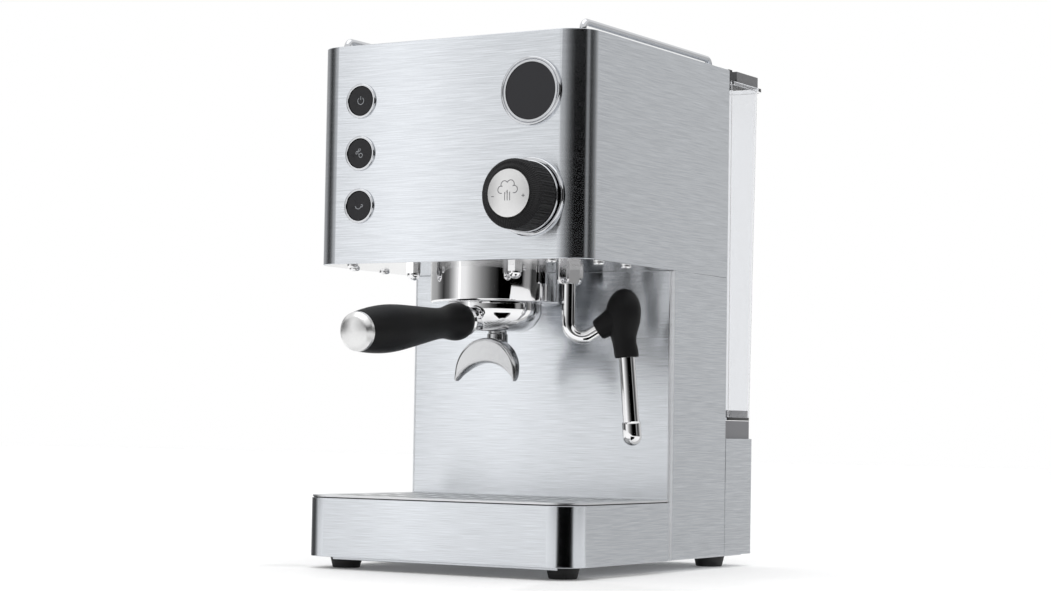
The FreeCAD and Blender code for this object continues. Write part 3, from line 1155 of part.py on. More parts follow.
def wand_grip():
    """Black moulded grip over the wand's knee: a round head, a waist and a boss for the pipe."""
    mouth = GRIP_MOUTH_DIAMETER / 2
    belly = GRIP_BELLY_DIAMETER / 2
    side = smooth_curve([(mouth, 0), (GRIP_WAIST_DIAMETER / 2, 0.24 * GRIP_LENGTH),
                         (belly * 0.9, 0.52 * GRIP_LENGTH),
                         (belly, 0.72 * GRIP_LENGTH), (belly * 0.78, 0.91 * GRIP_LENGTH), (0, GRIP_LENGTH)],
                        (-0.2, 1), (-1, 0))
    head = turned_curve([flat_line((0, 0), (mouth, 0)), side, flat_line((0, GRIP_LENGTH), (0, 0))])
    along_tube(head, GRIP_DROP)
    boss = turned([(0, 0, 0), (GRIP_BOSS_DIAMETER / 2, 0, 0),
                   (GRIP_BOSS_DIAMETER / 2, GRIP_BOSS_LENGTH, 4.5),
                   (0, GRIP_BOSS_LENGTH, 0)])
    boss.rotate(ORIGIN, Y_AXIS, -90 - WAND_RISE_DEG)
    boss.translate(FreeCAD.Vector(*wand_points()[2]))
    return along_wand(head.fuse(boss).cut(wand_tube(SEAM)).removeSplitter())


def wand_tip():
    """Fatter steam tip on the tube's end with a rounded nose."""
    radius = TIP_DIAMETER / 2
    bore = WAND_DIAMETER / 2 + SEAM
    nose = TIP_SLEEVE - TIP_LENGTH
    tip = turned([(0, nose, 0), (radius, nose, radius * 0.8), (radius - 0.3, TIP_SLEEVE, 0.5),
                  (bore, TIP_SLEEVE, 0),
                  (bore, 0, 0), (0, 0, 0)])
    return along_wand(along_tube(tip, WAND_LENGTH))


def wand_gland():
    """Hexagonal gland through the head's floor in which the wand swivels."""
    low = HEAD_BOTTOM_Z - GLAND_HEIGHT
    hexagonal = hexagon(GLAND_FLATS, low, HEAD_BOTTOM_Z)
    bevel = turned([(0, low, 0), (GLAND_FLATS / 2, low, 0), (GLAND_FLATS / 2 + 3, low + 3, 0),
                    (GLAND_FLATS / 2 + 3, HEAD_BOTTOM_Z, 0), (0, HEAD_BOTTOM_Z, 0)])
    body = hexagonal.common(bevel)
    top = HEAD_FLOOR_Z + GLAND_NUT_HEIGHT
    body = body.fuse(rod(GLAND_NECK_RADIUS, (0, 0, HEAD_BOTTOM_Z), Z_AXIS, SHEET))
    body = body.fuse(rod(GLAND_NECK_RADIUS + 2.0, (0, 0, HEAD_FLOOR_Z), Z_AXIS, GLAND_NUT_HEIGHT))
    room = rod(BEAD_RADIUS + RUNNING, (0, 0, low + GLAND_LIP), Z_AXIS, top - 3.0 - low - GLAND_LIP)
    bore = rod(WAND_DIAMETER / 2 + SHAFT_FIT, (0, 0, low - 1), Z_AXIS, GLAND_LIP + 2)
    body = body.cut(room).cut(bore).removeSplitter()
    body.translate(FreeCAD.Vector(WAND_X, GROUP_Y, 0))
    return body


def tray_front():
    """Brushed steel wrap of the drip tray, its lower rear corners rounded."""
    wrap = u_wrap(TRAY_FRONT_Y, TRAY_REAR_Y, CORNER_RADIUS, TRAY_BOTTOM_Z, TRAY_TOP_Z)
    lower = [edge for edge in wrap.Edges if edge.BoundBox.XLength > SHEET * 0.9
             and edge.BoundBox.XLength < SHEET * 1.1
             and edge.BoundBox.YLength < 0.01 and abs(edge.BoundBox.ZMin - TRAY_BOTTOM_Z) < 0.01]
    return wrap.makeFillet(TRAY_REAR_ROUND, lower)


def tray_box():
    """Plastic box of the drip tray with a notch in its back wall for the drain."""
    front = TRAY_FRONT_Y + SHEET + SEAM
    floor = BASE_TOP_Z + RUNNING
    radius = CORNER_RADIUS - SHEET - SEAM
    wall = TRAY_BOX_WALL
    body = rounded_block(-INNER_HALF, INNER_HALF, front, TRAY_REAR_Y, floor, GRATE_BOTTOM_Z, radius, 2)
    room = rounded_block(-INNER_HALF + wall, INNER_HALF - wall, front + wall, TRAY_REAR_Y - wall,
                         floor + wall, GRATE_BOTTOM_Z + wall,
                         radius - wall, 1)
    notch = DRAIN_DIAMETER / 2 + DRAIN_CLEARANCE
    gap = box(-notch, notch, TRAY_REAR_Y - 2 * wall, TRAY_REAR_Y + wall, DRAIN_Z - notch,
              GRATE_BOTTOM_Z + wall)
    return body.cut(room).cut(gap)


def drip_grate():
    """Steel grate on the tray's edge with rows of long slots."""
    half = HALF - GRATE_INSET
    front = TRAY_FRONT_Y + GRATE_INSET
    radius = CORNER_RADIUS - GRATE_INSET
    plate = rounded_block(-half, half, front, TRAY_REAR_Y, GRATE_BOTTOM_Z, GRATE_BOTTOM_Z + GRATE_SHEET,
                          radius, 2)
    field = TRAY_REAR_Y - front - 2 * GRATE_MARGIN
    length = (field - (GRATE_ROWS - 1) * GRATE_BAR) / GRATE_ROWS
    slots = []
    for row in range(GRATE_ROWS):
        y = front + GRATE_MARGIN + row * (length + GRATE_BAR)
        for column in range(GRATE_COLUMNS):
            x = (column - (GRATE_COLUMNS - 1) / 2) * GRATE_SLOT_PITCH
            slots.append(rounded_block(x - GRATE_SLOT_WIDTH / 2, x + GRATE_SLOT_WIDTH / 2, y, y + length,
                                       GRATE_BOTTOM_Z - GRATE_SHEET, GRATE_BOTTOM_Z + 2 * GRATE_SHEET,
                                       GRATE_SLOT_WIDTH * 0.49,
                                       GRATE_SLOT_WIDTH * 0.49))
    return plate.cut(Part.makeCompound(slots))


def pump():
    """Vibration pump lying across the column, with an inlet and an outlet at its ends."""
    half = PUMP_LENGTH / 2
    radius = PUMP_DIAMETER / 2
    port = PUMP_PORT_DIAMETER / 2
    body = turned([(0, -half - PUMP_PORT_LENGTH, 0), (port, -half - PUMP_PORT_LENGTH, 0), (port, -half, 0),
                   (radius * 0.6, -half, 0),
                   (radius * 0.6, -half * 0.55, 0), (radius, -half * 0.55, 2), (radius, half * 0.55, 2),
                   (radius * 0.6, half * 0.55, 0),
                   (radius * 0.6, half, 0), (port, half, 0), (port, half + PUMP_PORT_LENGTH, 0),
                   (0, half + PUMP_PORT_LENGTH, 0)])
    body.rotate(ORIGIN, Y_AXIS, 90)
    body.translate(FreeCAD.Vector(0, PUMP_Y, PUMP_Z))
    return body


def pump_mounts():
    """Two rubber cradles on the base plate that carry the pump."""
    mounts = []
    room = rod(PUMP_DIAMETER / 2 + SEAM, (-PUMP_LENGTH, PUMP_Y, PUMP_Z), X_AXIS, 2 * PUMP_LENGTH)
    for side in (-1, 1):
        x = side * PUMP_LENGTH * 0.16
        cradle = box(x - MOUNT_LENGTH / 2, x + MOUNT_LENGTH / 2, PUMP_Y - PUMP_DIAMETER * 0.4,
                     PUMP_Y + PUMP_DIAMETER * 0.4,
                     BASE_TOP_Z, PUMP_Z - PUMP_DIAMETER * 0.2)
        mounts.append(cradle.cut(room))
    return mounts


def solenoid_valve():
    """Three way valve on the group's rear tab."""
    half = SOLENOID_SIZE / 2
    body = box(-half, half, -half, half, BOILER_BOTTOM_Z, BOILER_BOTTOM_Z + SOLENOID_SIZE * 0.5)
    coil = rod(half * 0.8, (0, 0, BOILER_BOTTOM_Z + SOLENOID_SIZE * 0.5), Z_AXIS,
               SOLENOID_HEIGHT - SOLENOID_SIZE * 0.5)
    valve = body.fuse(coil)
    valve.translate(FreeCAD.Vector(0, SOLENOID_Y, 0))
    return valve.removeSplitter()


def drain_pipe():
    """Pipe from the three way valve down the column and out over the tray."""
    return bent_rod([(0, DRAIN_Y, BOILER_BOTTOM_Z), (0, DRAIN_Y, DRAIN_Z),
                     (0, COLUMN_FRONT_Y - DRAIN_REACH, DRAIN_Z)],
                    DRAIN_DIAMETER / 2 - SEAM, DRAIN_DIAMETER)


def suction_hose():
    """Hose from the tank's seat through the rear panel to the pump's inlet."""
    inlet = -PUMP_LENGTH / 2 - PUMP_PORT_LENGTH
    return bent_rod([(VALVE_X, VALVE_Y, SOCKET_BOTTOM_Z), (VALVE_X, VALVE_Y, PUMP_Z),
                     (VALVE_X, PUMP_Y, PUMP_Z), (inlet, PUMP_Y, PUMP_Z)],
                    HOSE_DIAMETER / 2, [HOSE_BEND, min(HOSE_BEND, (inlet - VALVE_X) * 0.9)])


def delivery_pipe():
    """Pressure pipe from the pump up the column to the boiler's inlet."""
    outlet = PUMP_LENGTH / 2 + PUMP_PORT_LENGTH
    riser = outlet + 3 * PIPE_BEND
    return bent_rod([(outlet, PUMP_Y, PUMP_Z), (riser, PUMP_Y, PUMP_Z), (riser, PUMP_Y, INLET_Z),
                     (INLET_X, PUMP_Y, INLET_Z),
                     (INLET_X, INLET_FACE_Y, INLET_Z)], PIPE_DIAMETER / 2, PIPE_BEND)


def steam_pipes():
    """Two pipes: from the boiler's top to the steam valve, and from the valve to the wand's gland."""
    valve_y = HEAD_FRONT_Y + VALVE_PORT_SETBACK
    start = STEAM_TAP_REACH
    high = BOILER_TOP_Z + 2.5 * PIPE_BEND
    feed = bent_rod([(start, GROUP_Y - start, BOILER_TOP_Z), (start, GROUP_Y - start, high),
                     (DIAL_X, valve_y, high),
                     (DIAL_X, valve_y, KNOB_Z + VALVE_PORT_REACH)], PIPE_DIAMETER / 2, PIPE_BEND)
    gland_z = HEAD_FLOOR_Z + GLAND_NUT_HEIGHT
    middle = (gland_z + KNOB_Z - VALVE_PORT_REACH) / 2
    turn = min(PIPE_BEND, (middle - gland_z) * 0.9)
    outlet = bent_rod([(DIAL_X, valve_y, KNOB_Z - VALVE_PORT_REACH), (DIAL_X, valve_y, middle),
                       (WAND_X, GROUP_Y, middle),
                       (WAND_X, GROUP_Y, gland_z)], PIPE_DIAMETER / 2, turn)
    return [feed, outlet]


def control_board():
    """Control board on four standoffs inside the rear panel, with its relay, transformer and capacitor."""
    face = PANEL_INNER_Y - BOARD_STANDOFF - BOARD_SHEET
    low = HEAD_TOP_Z - TOP_PLATE_SKIRT - BOARD_HEIGHT * 1.26
    board = box(-BOARD_WIDTH / 2, BOARD_WIDTH / 2, face, face + BOARD_SHEET, low, low + BOARD_HEIGHT)
    post = BOARD_STANDOFF * 0.4
    for x in (-BOARD_WIDTH * 0.45, BOARD_WIDTH * 0.45):
        for z in (low + BOARD_HEIGHT * 0.08, low + BOARD_HEIGHT * 0.92):
            board = board.fuse(rod(post, (x, face + BOARD_SHEET, z), Y_AXIS, BOARD_STANDOFF))
    for x, z, width, height in ((-0.28, 0.32, 0.27, 0.37), (0.08, 0.24, 0.17, 0.21),
                                (0.32, 0.58, 0.15, 0.24)):
        middle = BOARD_WIDTH * x
        half = BOARD_WIDTH * width / 2
        foot = low + BOARD_HEIGHT * (z - height / 2)
        board = board.fuse(box(middle - half, middle + half, face - half * 1.6, face, foot,
                               foot + BOARD_HEIGHT * height))
    return board.removeSplitter()


def main():
    os.makedirs("parts", exist_ok=True)
    save("base_plate", base_plate())
    save("rubber_feet", *rubber_feet())
    save("column_shell", column_shell())
    save("head_wrap", head_wrap())
    save("head_underplate", head_underplate())
    save("top_plate", top_plate())
    save("rear_panel", rear_panel())
    save("cup_rail_left", cup_rail(-RAIL_X))
    save("cup_rail_right", cup_rail(RAIL_X))
    save("tank_pedestal", tank_pedestal())
    save("cord_gland", cord_gland())
    save("tank_seat", tank_seat())
    save("water_tank", water_tank())
    save("tank_base", tank_base())
    save("lid_hinge", lid_hinge())
    save("tank_lid", tank_lid())
    save("button_bezels", *[button_bezel(z) for z in BUTTON_HEIGHTS])
    save("button_switches", *[button_switch(z) for z in BUTTON_HEIGHTS])
    for name, z in zip(("power", "steam", "brew"), BUTTON_HEIGHTS):
        save("button_" + name, button_cap(z))
    save("display_bezel", display_bezel())
    save("display_lens", display_lens())
    save("display_module", display_module())
    save("knob_base_ring", knob_base_ring())
    save("knob_grip", knob_grip())
    save("knob_cap", knob_cap())
    save("knob_spindle", knob_spindle())
    save("steam_valve", steam_valve())
    save("group_collar", group_collar())
    save("group_head", group_head())
    save("group_gasket", group_gasket())
    save("shower_screen", shower_screen())
    save("boiler", boiler())
    save("heating_element", heating_element())
    save("thermostats", *thermostats())
    save("dome_nuts", *dome_nuts())
    save("underside_screws", *underside_screws())
    save("portafilter_body", portafilter_body())
    save("filter_basket", filter_basket())
    save("handle_ferrule", handle_ferrule())
    save("portafilter_handle", portafilter_handle())
    save("handle_end_cap", handle_end_cap())
    save("twin_spout", twin_spout())
    save("wand_gland", wand_gland())
    save("wand_pipe", wand_pipe())
    save("wand_grip", wand_grip())
    save("wand_tip", wand_tip())
    save("tray_front", tray_front())
    save("tray_box", tray_box())
    save("drip_grate", drip_grate())
    save("pump", pump())
    save("pump_mounts", *pump_mounts())
    save("solenoid_valve", solenoid_valve())
    save("drain_pipe", drain_pipe())
    save("suction_hose", suction_hose())
    save("delivery_pipe", delivery_pipe())
    save("steam_pipes", *steam_pipes())
    save("control_board", control_board())


main()
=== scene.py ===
import json
import math

import bmesh
import bpy
from mathutils import Matrix, Vector

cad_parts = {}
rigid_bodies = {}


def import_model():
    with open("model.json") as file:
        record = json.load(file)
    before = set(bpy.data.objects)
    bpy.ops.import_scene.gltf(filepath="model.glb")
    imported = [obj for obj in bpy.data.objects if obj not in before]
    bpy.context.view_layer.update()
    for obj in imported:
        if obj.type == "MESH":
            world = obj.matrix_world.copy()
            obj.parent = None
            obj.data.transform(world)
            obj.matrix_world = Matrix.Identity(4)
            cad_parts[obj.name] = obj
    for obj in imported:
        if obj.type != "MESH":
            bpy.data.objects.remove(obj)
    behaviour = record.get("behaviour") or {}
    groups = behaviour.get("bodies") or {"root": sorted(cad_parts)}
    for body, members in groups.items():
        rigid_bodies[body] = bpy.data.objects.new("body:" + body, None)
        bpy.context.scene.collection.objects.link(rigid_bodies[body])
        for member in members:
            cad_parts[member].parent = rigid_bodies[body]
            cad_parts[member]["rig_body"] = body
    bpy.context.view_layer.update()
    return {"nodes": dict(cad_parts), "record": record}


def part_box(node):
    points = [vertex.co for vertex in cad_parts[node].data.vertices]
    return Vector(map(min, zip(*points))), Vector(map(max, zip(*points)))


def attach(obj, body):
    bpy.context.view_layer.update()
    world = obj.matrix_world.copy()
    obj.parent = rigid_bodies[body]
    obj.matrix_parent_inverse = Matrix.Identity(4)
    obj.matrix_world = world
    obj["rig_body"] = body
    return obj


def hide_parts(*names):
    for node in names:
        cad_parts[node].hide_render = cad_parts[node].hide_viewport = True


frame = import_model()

# Camera.
# A long lens stands low at the right of the machine, as a studio shot of an appliance is taken.
# The slight tilt and shift bring the frame onto the photograph's.
CAMERA_PLACE = (0.9238, -1.4935, 0.1025)
CAMERA_TARGET = (0.0, 0.012, 0.1974)
CAMERA_ROLL_DEG = 0.94
SENSOR_MM = 36.0
LENS_MM = 82.03
LENS_SHIFT = (0.0090, 0.0040)

camera_data = bpy.data.cameras.new("camera")
camera_data.sensor_width = SENSOR_MM
camera_data.lens = LENS_MM
camera_data.shift_x, camera_data.shift_y = LENS_SHIFT
camera = bpy.data.objects.new("camera", camera_data)
bpy.context.scene.collection.objects.link(camera)
sight = Vector(CAMERA_TARGET) - Vector(CAMERA_PLACE)
aim = sight.to_track_quat("-Z", "Y").to_matrix().to_4x4()
roll = Matrix.Rotation(math.radians(CAMERA_ROLL_DEG), 4, "Z")
camera.matrix_world = Matrix.Translation(CAMERA_PLACE) @ aim @ roll
bpy.context.scene.camera = camera


# Floor, surroundings and lamp.
# A white floor in a white room with one broad lamp above lights the machine softly.
# A ring of cloth, seen only in reflections and dark at both sides, gives the folded corners a black line.
WHITE = (1.0, 1.0, 1.0, 1.0)
BLACK = (0.0, 0.0, 0.0, 1.0)
FLOOR_SIZE = 12.0
FLOOR_COLOUR = (0.92, 0.92, 0.92, 1.0)
FLOOR_ROUGHNESS = 0.6
FLOOR_GLOW = 0.07


def shader_of(material):
    """Main shader of a material."""
    return material.node_tree.nodes["Principled BSDF"]


floor_sheet = bmesh.new()
bmesh.ops.create_grid(floor_sheet, x_segments=1, y_segments=1, size=FLOOR_SIZE / 2)
floor_mesh = bpy.data.meshes.new("floor")
floor_sheet.to_mesh(floor_mesh)
floor_sheet.free()
floor_white = bpy.data.materials.new("floor_white")
floor_white.use_nodes = True
shader_of(floor_white).inputs["Base Color"].default_value = FLOOR_COLOUR
shader_of(floor_white).inputs["Roughness"].default_value = FLOOR_ROUGHNESS
shader_of(floor_white).inputs["Emission Color"].default_value = WHITE
shader_of(floor_white).inputs["Emission Strength"].default_value = FLOOR_GLOW
floor_mesh.materials.append(floor_white)
floor = bpy.data.objects.new("floor", floor_mesh)
bpy.context.scene.collection.objects.link(floor)

world = bpy.data.worlds.new("studio")
world.use_nodes = True
world.node_tree.nodes["Background"].inputs["Color"].default_value = WHITE
world.node_tree.nodes["Background"].inputs["Strength"].default_value = 1.0
bpy.context.scene.world = world
bpy.context.scene.view_settings.view_transform = "Standard"

LAMP_SIZE = 3.0
LAMP_POWER = 26.0
LAMP_PLACE = (0.0, -0.3, 2.6)
top_lamp_data = bpy.data.lights.new("top_lamp", "AREA")
top_lamp_data.size = LAMP_SIZE
top_lamp_data.energy = LAMP_POWER
top_lamp = bpy.data.objects.new("top_lamp", top_lamp_data)
top_lamp.matrix_world = Matrix.Translation(LAMP_PLACE)
bpy.context.scene.collection.objects.link(top_lamp)

SURROUND_RADIUS = 2.2
SURROUND_SHOULDER = 0.95
SURROUND_HEIGHT = 1.05
CLOTH_LIFT = 0.002
# Brightness of the surround by its angle in degrees, counted from the front towards the right.
SURROUND_GLOW = (
    (-160, 1.0),
    (-146, 1.0),
    (-122, 0.50),
    (-94, 0.40),
    (-84, 0.20),
    (-72, 0.04),
    (-58, 0.16),
    (-47, 0.55),
    (-39, 0.97),
    (-36.2, 1.05),
    (-33.8, 1.9),
    (-31.6, 1.05),
    (-22, 1.0),
    (-8, 0.60),
    (8, 0.28),
    (24, 0.07),
    (38, 0.0),
    (80, 0.0),
    (86, 0.32),
    (94, 0.32),
    (99, 0.04),
    (112, 0.08),
    (128, 0.30),
    (142, 0.68),
    (180, 0.72),
)
cloth_sheet = bmesh.new()
cloth_glow = cloth_sheet.verts.layers.float.new("glow")


def lay_line(centre, radius, glow_by_angle):
    """Line of edges round a centre, each of its points with its own brightness."""
    points = []
    for angle_deg, glow in glow_by_angle:
        angle = math.radians(angle_deg)
        out = Vector((math.sin(angle), -math.cos(angle), 0.0))
        point = cloth_sheet.verts.new(centre + out * radius)
        point[cloth_glow] = glow
        points.append(point)
    return [cloth_sheet.edges.new(pair) for pair in zip(points, points[1:])]


def draw_cloth(line):
    """Start a width of cloth at a line, and give the points and edges of its other side."""
    other_side = bmesh.ops.extrude_edge_only(cloth_sheet, edges=line)["geom"]
    points = [item for item in other_side if isinstance(item, bmesh.types.BMVert)]
    edges = [item for item in other_side if isinstance(item, bmesh.types.BMEdge)]
    return points, edges


foot = lay_line(Vector((0.0, 0.0, CLOTH_LIFT)), SURROUND_RADIUS, SURROUND_GLOW)
shoulder_points, shoulder = draw_cloth(foot)
bmesh.ops.translate(cloth_sheet, vec=(0.0, 0.0, SURROUND_SHOULDER - CLOTH_LIFT), verts=shoulder_points)
head_points = draw_cloth(shoulder)[0]
bmesh.ops.translate(cloth_sheet, vec=(0.0, 0.0, SURROUND_HEIGHT - SURROUND_SHOULDER), verts=head_points)
for point in head_points:
    point[cloth_glow] = 1.0

# Low dark cards stand round the tray's front corners on cloths of their own; a grey cloth lies to the right.
CORNER_INSET = 0.02
CLOTH_NEAR = 0.03
RIGHT_CARD_GLOW = ((14, 0.4), (20, 0.0), (70, 0.0), (78, 0.4))
RIGHT_CARD_REACH = 0.20
RIGHT_CARD_HEIGHT = 0.062
LEFT_CARD_GLOW = ((-118, 0.9), (-100, 0.25), (-86, 0.08), (-66, 0.08), (-56, 0.4), (-47, 0.95))
LEFT_CARD_REACH = 0.06
LEFT_CARD_HEIGHT = 0.052
SIDE_CLOTH_GLOW = ((138, 0.9), (144, 0.64), (172, 0.64), (178, 0.9))
SIDE_CLOTH_REACH = 1.9
tray_low, tray_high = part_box("tray_front")
right_corner = Vector((tray_high.x - CORNER_INSET, tray_low.y + CORNER_INSET, CLOTH_LIFT))
left_corner = Vector((tray_low.x + CORNER_INSET, tray_low.y + CORNER_INSET, CLOTH_LIFT))
for corner, glow_by_angle, reach, height in (
        (right_corner, RIGHT_CARD_GLOW, RIGHT_CARD_REACH, RIGHT_CARD_HEIGHT),
        (left_corner, LEFT_CARD_GLOW, LEFT_CARD_REACH, LEFT_CARD_HEIGHT),
        (right_corner, SIDE_CLOTH_GLOW, SIDE_CLOTH_REACH, 0.0)):
    far_points, far_side = draw_cloth(lay_line(corner, CLOTH_NEAR, glow_by_angle))
    spread = reach / CLOTH_NEAR
    bmesh.ops.scale(cloth_sheet, vec=(spread, spread, 1.0), verts=far_points,
                    space=Matrix.Translation(-corner))
    if height:
        card_points = draw_cloth(far_side)[0]
        bmesh.ops.translate(cloth_sheet, vec=(0.0, 0.0, height), verts=card_points)

surround_mesh = bpy.data.meshes.new("surround")
cloth_sheet.to_mesh(surround_mesh)
cloth_sheet.free()
surround_cloth = bpy.data.materials.new("surround_cloth")
surround_cloth.use_nodes = True
shader_of(surround_cloth).inputs["Base Color"].default_value = BLACK
shader_of(surround_cloth).inputs["Specular IOR Level"].default_value = 0.0
shader_of(surround_cloth).inputs["Emission Color"].default_value = WHITE
surround_value = surround_cloth.node_tree.nodes.new("ShaderNodeAttribute")
surround_value.attribute_name = "glow"
surround_cloth.node_tree.links.new(surround_value.outputs["Fac"],
                                   shader_of(surround_cloth).inputs["Emission Strength"])
surround_mesh.materials.append(surround_cloth)
surround = bpy.data.objects.new("surround", surround_mesh)
surround.visible_camera = False
surround.visible_diffuse = False
surround.visible_transmission = False
surround.visible_shadow = False
bpy.context.scene.collection.objects.link(surround)


# Folded sheet of the body: base plate, pedestal, column, head and rear panel.
# They are brushed stainless steel sheets, bent to shape and screwed together.
# The grain runs level all round; the head's bends are smoother than its flat faces; the column's bends are
# duller and painted lighter than the steel, a painted highlight along its folds.
nodes = frame["nodes"]
slot_of = {part["node"]: part["material_slot"] for part in frame["record"]["subparts"]}
STEEL = (0.60, 0.622, 0.652)
LEVEL_GRAIN = (42.0, 42.0, 2600.0)
GRAIN_DETAIL = 5.0
RELIEF_DEPTH = 0.0002


def finish(name, colour, metallic, roughness, grain, tone, polish, relief):
    """Finish whose tone, gloss and surface follow one grain, its scale given along X, Y and Z."""
    material = bpy.data.materials.new(name)
    material.use_nodes = True
    tree = material.node_tree
    shader = shader_of(material)
    place = tree.nodes.new("ShaderNodeTexCoord")
    mapping = tree.nodes.new("ShaderNodeMapping")
    mapping.inputs["Scale"].default_value = grain
    noise = tree.nodes.new("ShaderNodeTexNoise")
    noise.inputs["Scale"].default_value = 1.0
    noise.inputs["Detail"].default_value = GRAIN_DETAIL
    tree.links.new(place.outputs["Object"], mapping.inputs["Vector"])
    tree.links.new(mapping.outputs["Vector"], noise.inputs["Vector"])
    tint = tree.nodes.new("ShaderNodeMix")
    tint.data_type = "RGBA"
    tint.inputs["A"].default_value = (*[c * (1 - tone) for c in colour], 1.0)
    tint.inputs["B"].default_value = (*[min(1.0, c * (1 + tone)) for c in colour], 1.0)
    tree.links.new(noise.outputs["Fac"], tint.inputs["Factor"])
    tree.links.new(tint.outputs["Result"], shader.inputs["Base Color"])
    gloss = tree.nodes.new("ShaderNodeMapRange")
    gloss.inputs["To Min"].default_value = max(0.0, roughness - polish)
    gloss.inputs["To Max"].default_value = roughness + polish
    tree.links.new(noise.outputs["Fac"], gloss.inputs["Value"])
    tree.links.new(gloss.outputs["Result"], shader.inputs["Roughness"])
    if relief:
        bump = tree.nodes.new("ShaderNodeBump")
        bump.inputs["Strength"].default_value = relief
        bump.inputs["Distance"].default_value = RELIEF_DEPTH
        tree.links.new(noise.outputs["Fac"], bump.inputs["Height"])
        tree.links.new(bump.outputs["Normal"], shader.inputs["Normal"])
    shader.inputs["Metallic"].default_value = metallic
    return material


def add_piece(shape, name, material, body, slot, *replaced):
    """Make an object of a finished shape, let it ride on a body and stand in for nodes."""
    mesh = bpy.data.meshes.new(name)
    shape.to_mesh(mesh)
    shape.free()
    mesh.materials.append(material)
    piece = bpy.data.objects.new(name, mesh)
    bpy.context.scene.collection.objects.link(piece)
    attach(piece, body)
    for node_name in replaced:
        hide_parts(node_name)
    return piece


SMOOTH_EDGE_DEG = 32.0
FLAT_EDGE_DEG = 0.2
FLAT_CORNERS = 6


def shade(shape, broken=()):
    """Shade curved faces smooth, keep flat faces flat and part the broken edges' faces from the rest."""
    flat = set()
    for face in shape.faces:
        level = any(edge.calc_face_angle(math.pi) < math.radians(FLAT_EDGE_DEG) for edge in face.edges)
        if level or len(face.verts) > FLAT_CORNERS:
            flat.add(face)
    for face in shape.faces:
        face.smooth = face not in flat
    for edge in shape.edges:
        limit = FLAT_EDGE_DEG if any(face in flat for face in edge.link_faces) else SMOOTH_EDGE_DEG
        edge.smooth = edge.calc_face_angle(math.pi) < math.radians(limit)
        if sum(face in broken for face in edge.link_faces) == 1:
            edge.smooth = False


MERGE_DISTANCE = 0.000005
SAME_PLANE_DEG = 0.06
HARD_EDGE_DEG = 50.0


def dress(material, *names, edge_width=0.0):
    """Give nodes a finish: each gets a skin of its shape, its curves smooth and its hard edges broken."""
    skins = []
    for name in names:
        shape = bmesh.new()
        shape.from_mesh(nodes[name].data)
        bmesh.ops.remove_doubles(shape, verts=shape.verts, dist=MERGE_DISTANCE)
        bmesh.ops.dissolve_limit(shape, angle_limit=math.radians(SAME_PLANE_DEG),
                                 verts=shape.verts, edges=shape.edges)
        broken = ()
        if edge_width:
            hard = [e for e in shape.edges if e.calc_face_angle(0.0) > math.radians(HARD_EDGE_DEG)]
            bevel = bmesh.ops.bevel(shape, geom=hard, offset=edge_width, segments=2, profile=0.5,
                                    affect="EDGES", clamp_overlap=True, material=-1)
            broken = set(bevel["faces"])
        shade(shape, broken)
        for face in shape.faces:
            face.material_index = 0
        skin = add_piece(shape, name + "_skin", material, nodes[name]["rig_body"], slot_of[name], name)
        skins.append(skin)
    return skins


def polish_and_highlight_bends(skin, material, least_turn):
    """Give the upright rounded corners of a folded sheet a material of their own; on the head and tray it is
    a smoother finish, on the column a lighter colour that is a painted highlight.
    """
    skin.data.materials.append(material)
    for polygon in skin.data.polygons:
        if min(abs(polygon.normal.x), -polygon.normal.y) > least_turn:
            polygon.material_index = 1


SHEET_EDGE = 0.0004
BEND_TURN = 0.02
PAINTED_HIGHLIGHT_FOLD_TURN = 0.12
level_steel = finish("level_brushed_steel", STEEL, metallic=1.0, roughness=0.21,
                     grain=LEVEL_GRAIN, tone=0.34, polish=0.05, relief=0.02)
shader_of(level_steel).inputs["Anisotropic"].default_value = 0.8
shader_of(level_steel).inputs["Anisotropic Rotation"].default_value = 0.25
dress(level_steel, "rear_panel", "tank_pedestal", "base_plate", edge_width=SHEET_EDGE)
head_skin, column_skin = dress(level_steel, "head_wrap", "column_shell", edge_width=SHEET_EDGE)
bend_steel = finish("bend_steel", STEEL, metallic=1.0, roughness=0.16,
                    grain=LEVEL_GRAIN, tone=0.20, polish=0.03, relief=0.0)
polish_and_highlight_bends(head_skin, bend_steel, BEND_TURN)
# The column's folds get a duller steel painted lighter than the sheet: a painted highlight that stands in
# for a bright line of light along its corners.
painted_highlight_fold_steel = finish("painted_highlight_fold_steel", (0.80, 0.815, 0.84), metallic=1.0, roughness=0.55,
                    grain=LEVEL_GRAIN, tone=0.15, polish=0.06, relief=0.0)
polish_and_highlight_bends(column_skin, painted_highlight_fold_steel, PAINTED_HIGHLIGHT_FOLD_TURN)


# Rubber feet and cord gland.
# Four nitrile feet are screwed under the base plate.
# The gland is a black nylon moulding with a fine spark texture, snapped into the pedestal's back.
FOOT_BLACK = (0.010, 0.010, 0.011)
NYLON_BLACK = (0.016, 0.016, 0.018)


def even_grain(scale):
    """Grain of the same scale along X, Y and Z."""
    return scale, scale, scale


foot_rubber = finish("foot_rubber", FOOT_BLACK, metallic=0.0, roughness=0.62,
                     grain=even_grain(900.0), tone=0.3, polish=0.08, relief=0.2)
dress(foot_rubber, "rubber_feet")
moulded_black = finish("moulded_black", NYLON_BLACK, metallic=0.0, roughness=0.48,
                       grain=even_grain(1400.0), tone=0.25, polish=0.06, relief=0.25)
dress(moulded_black, "cord_gland")


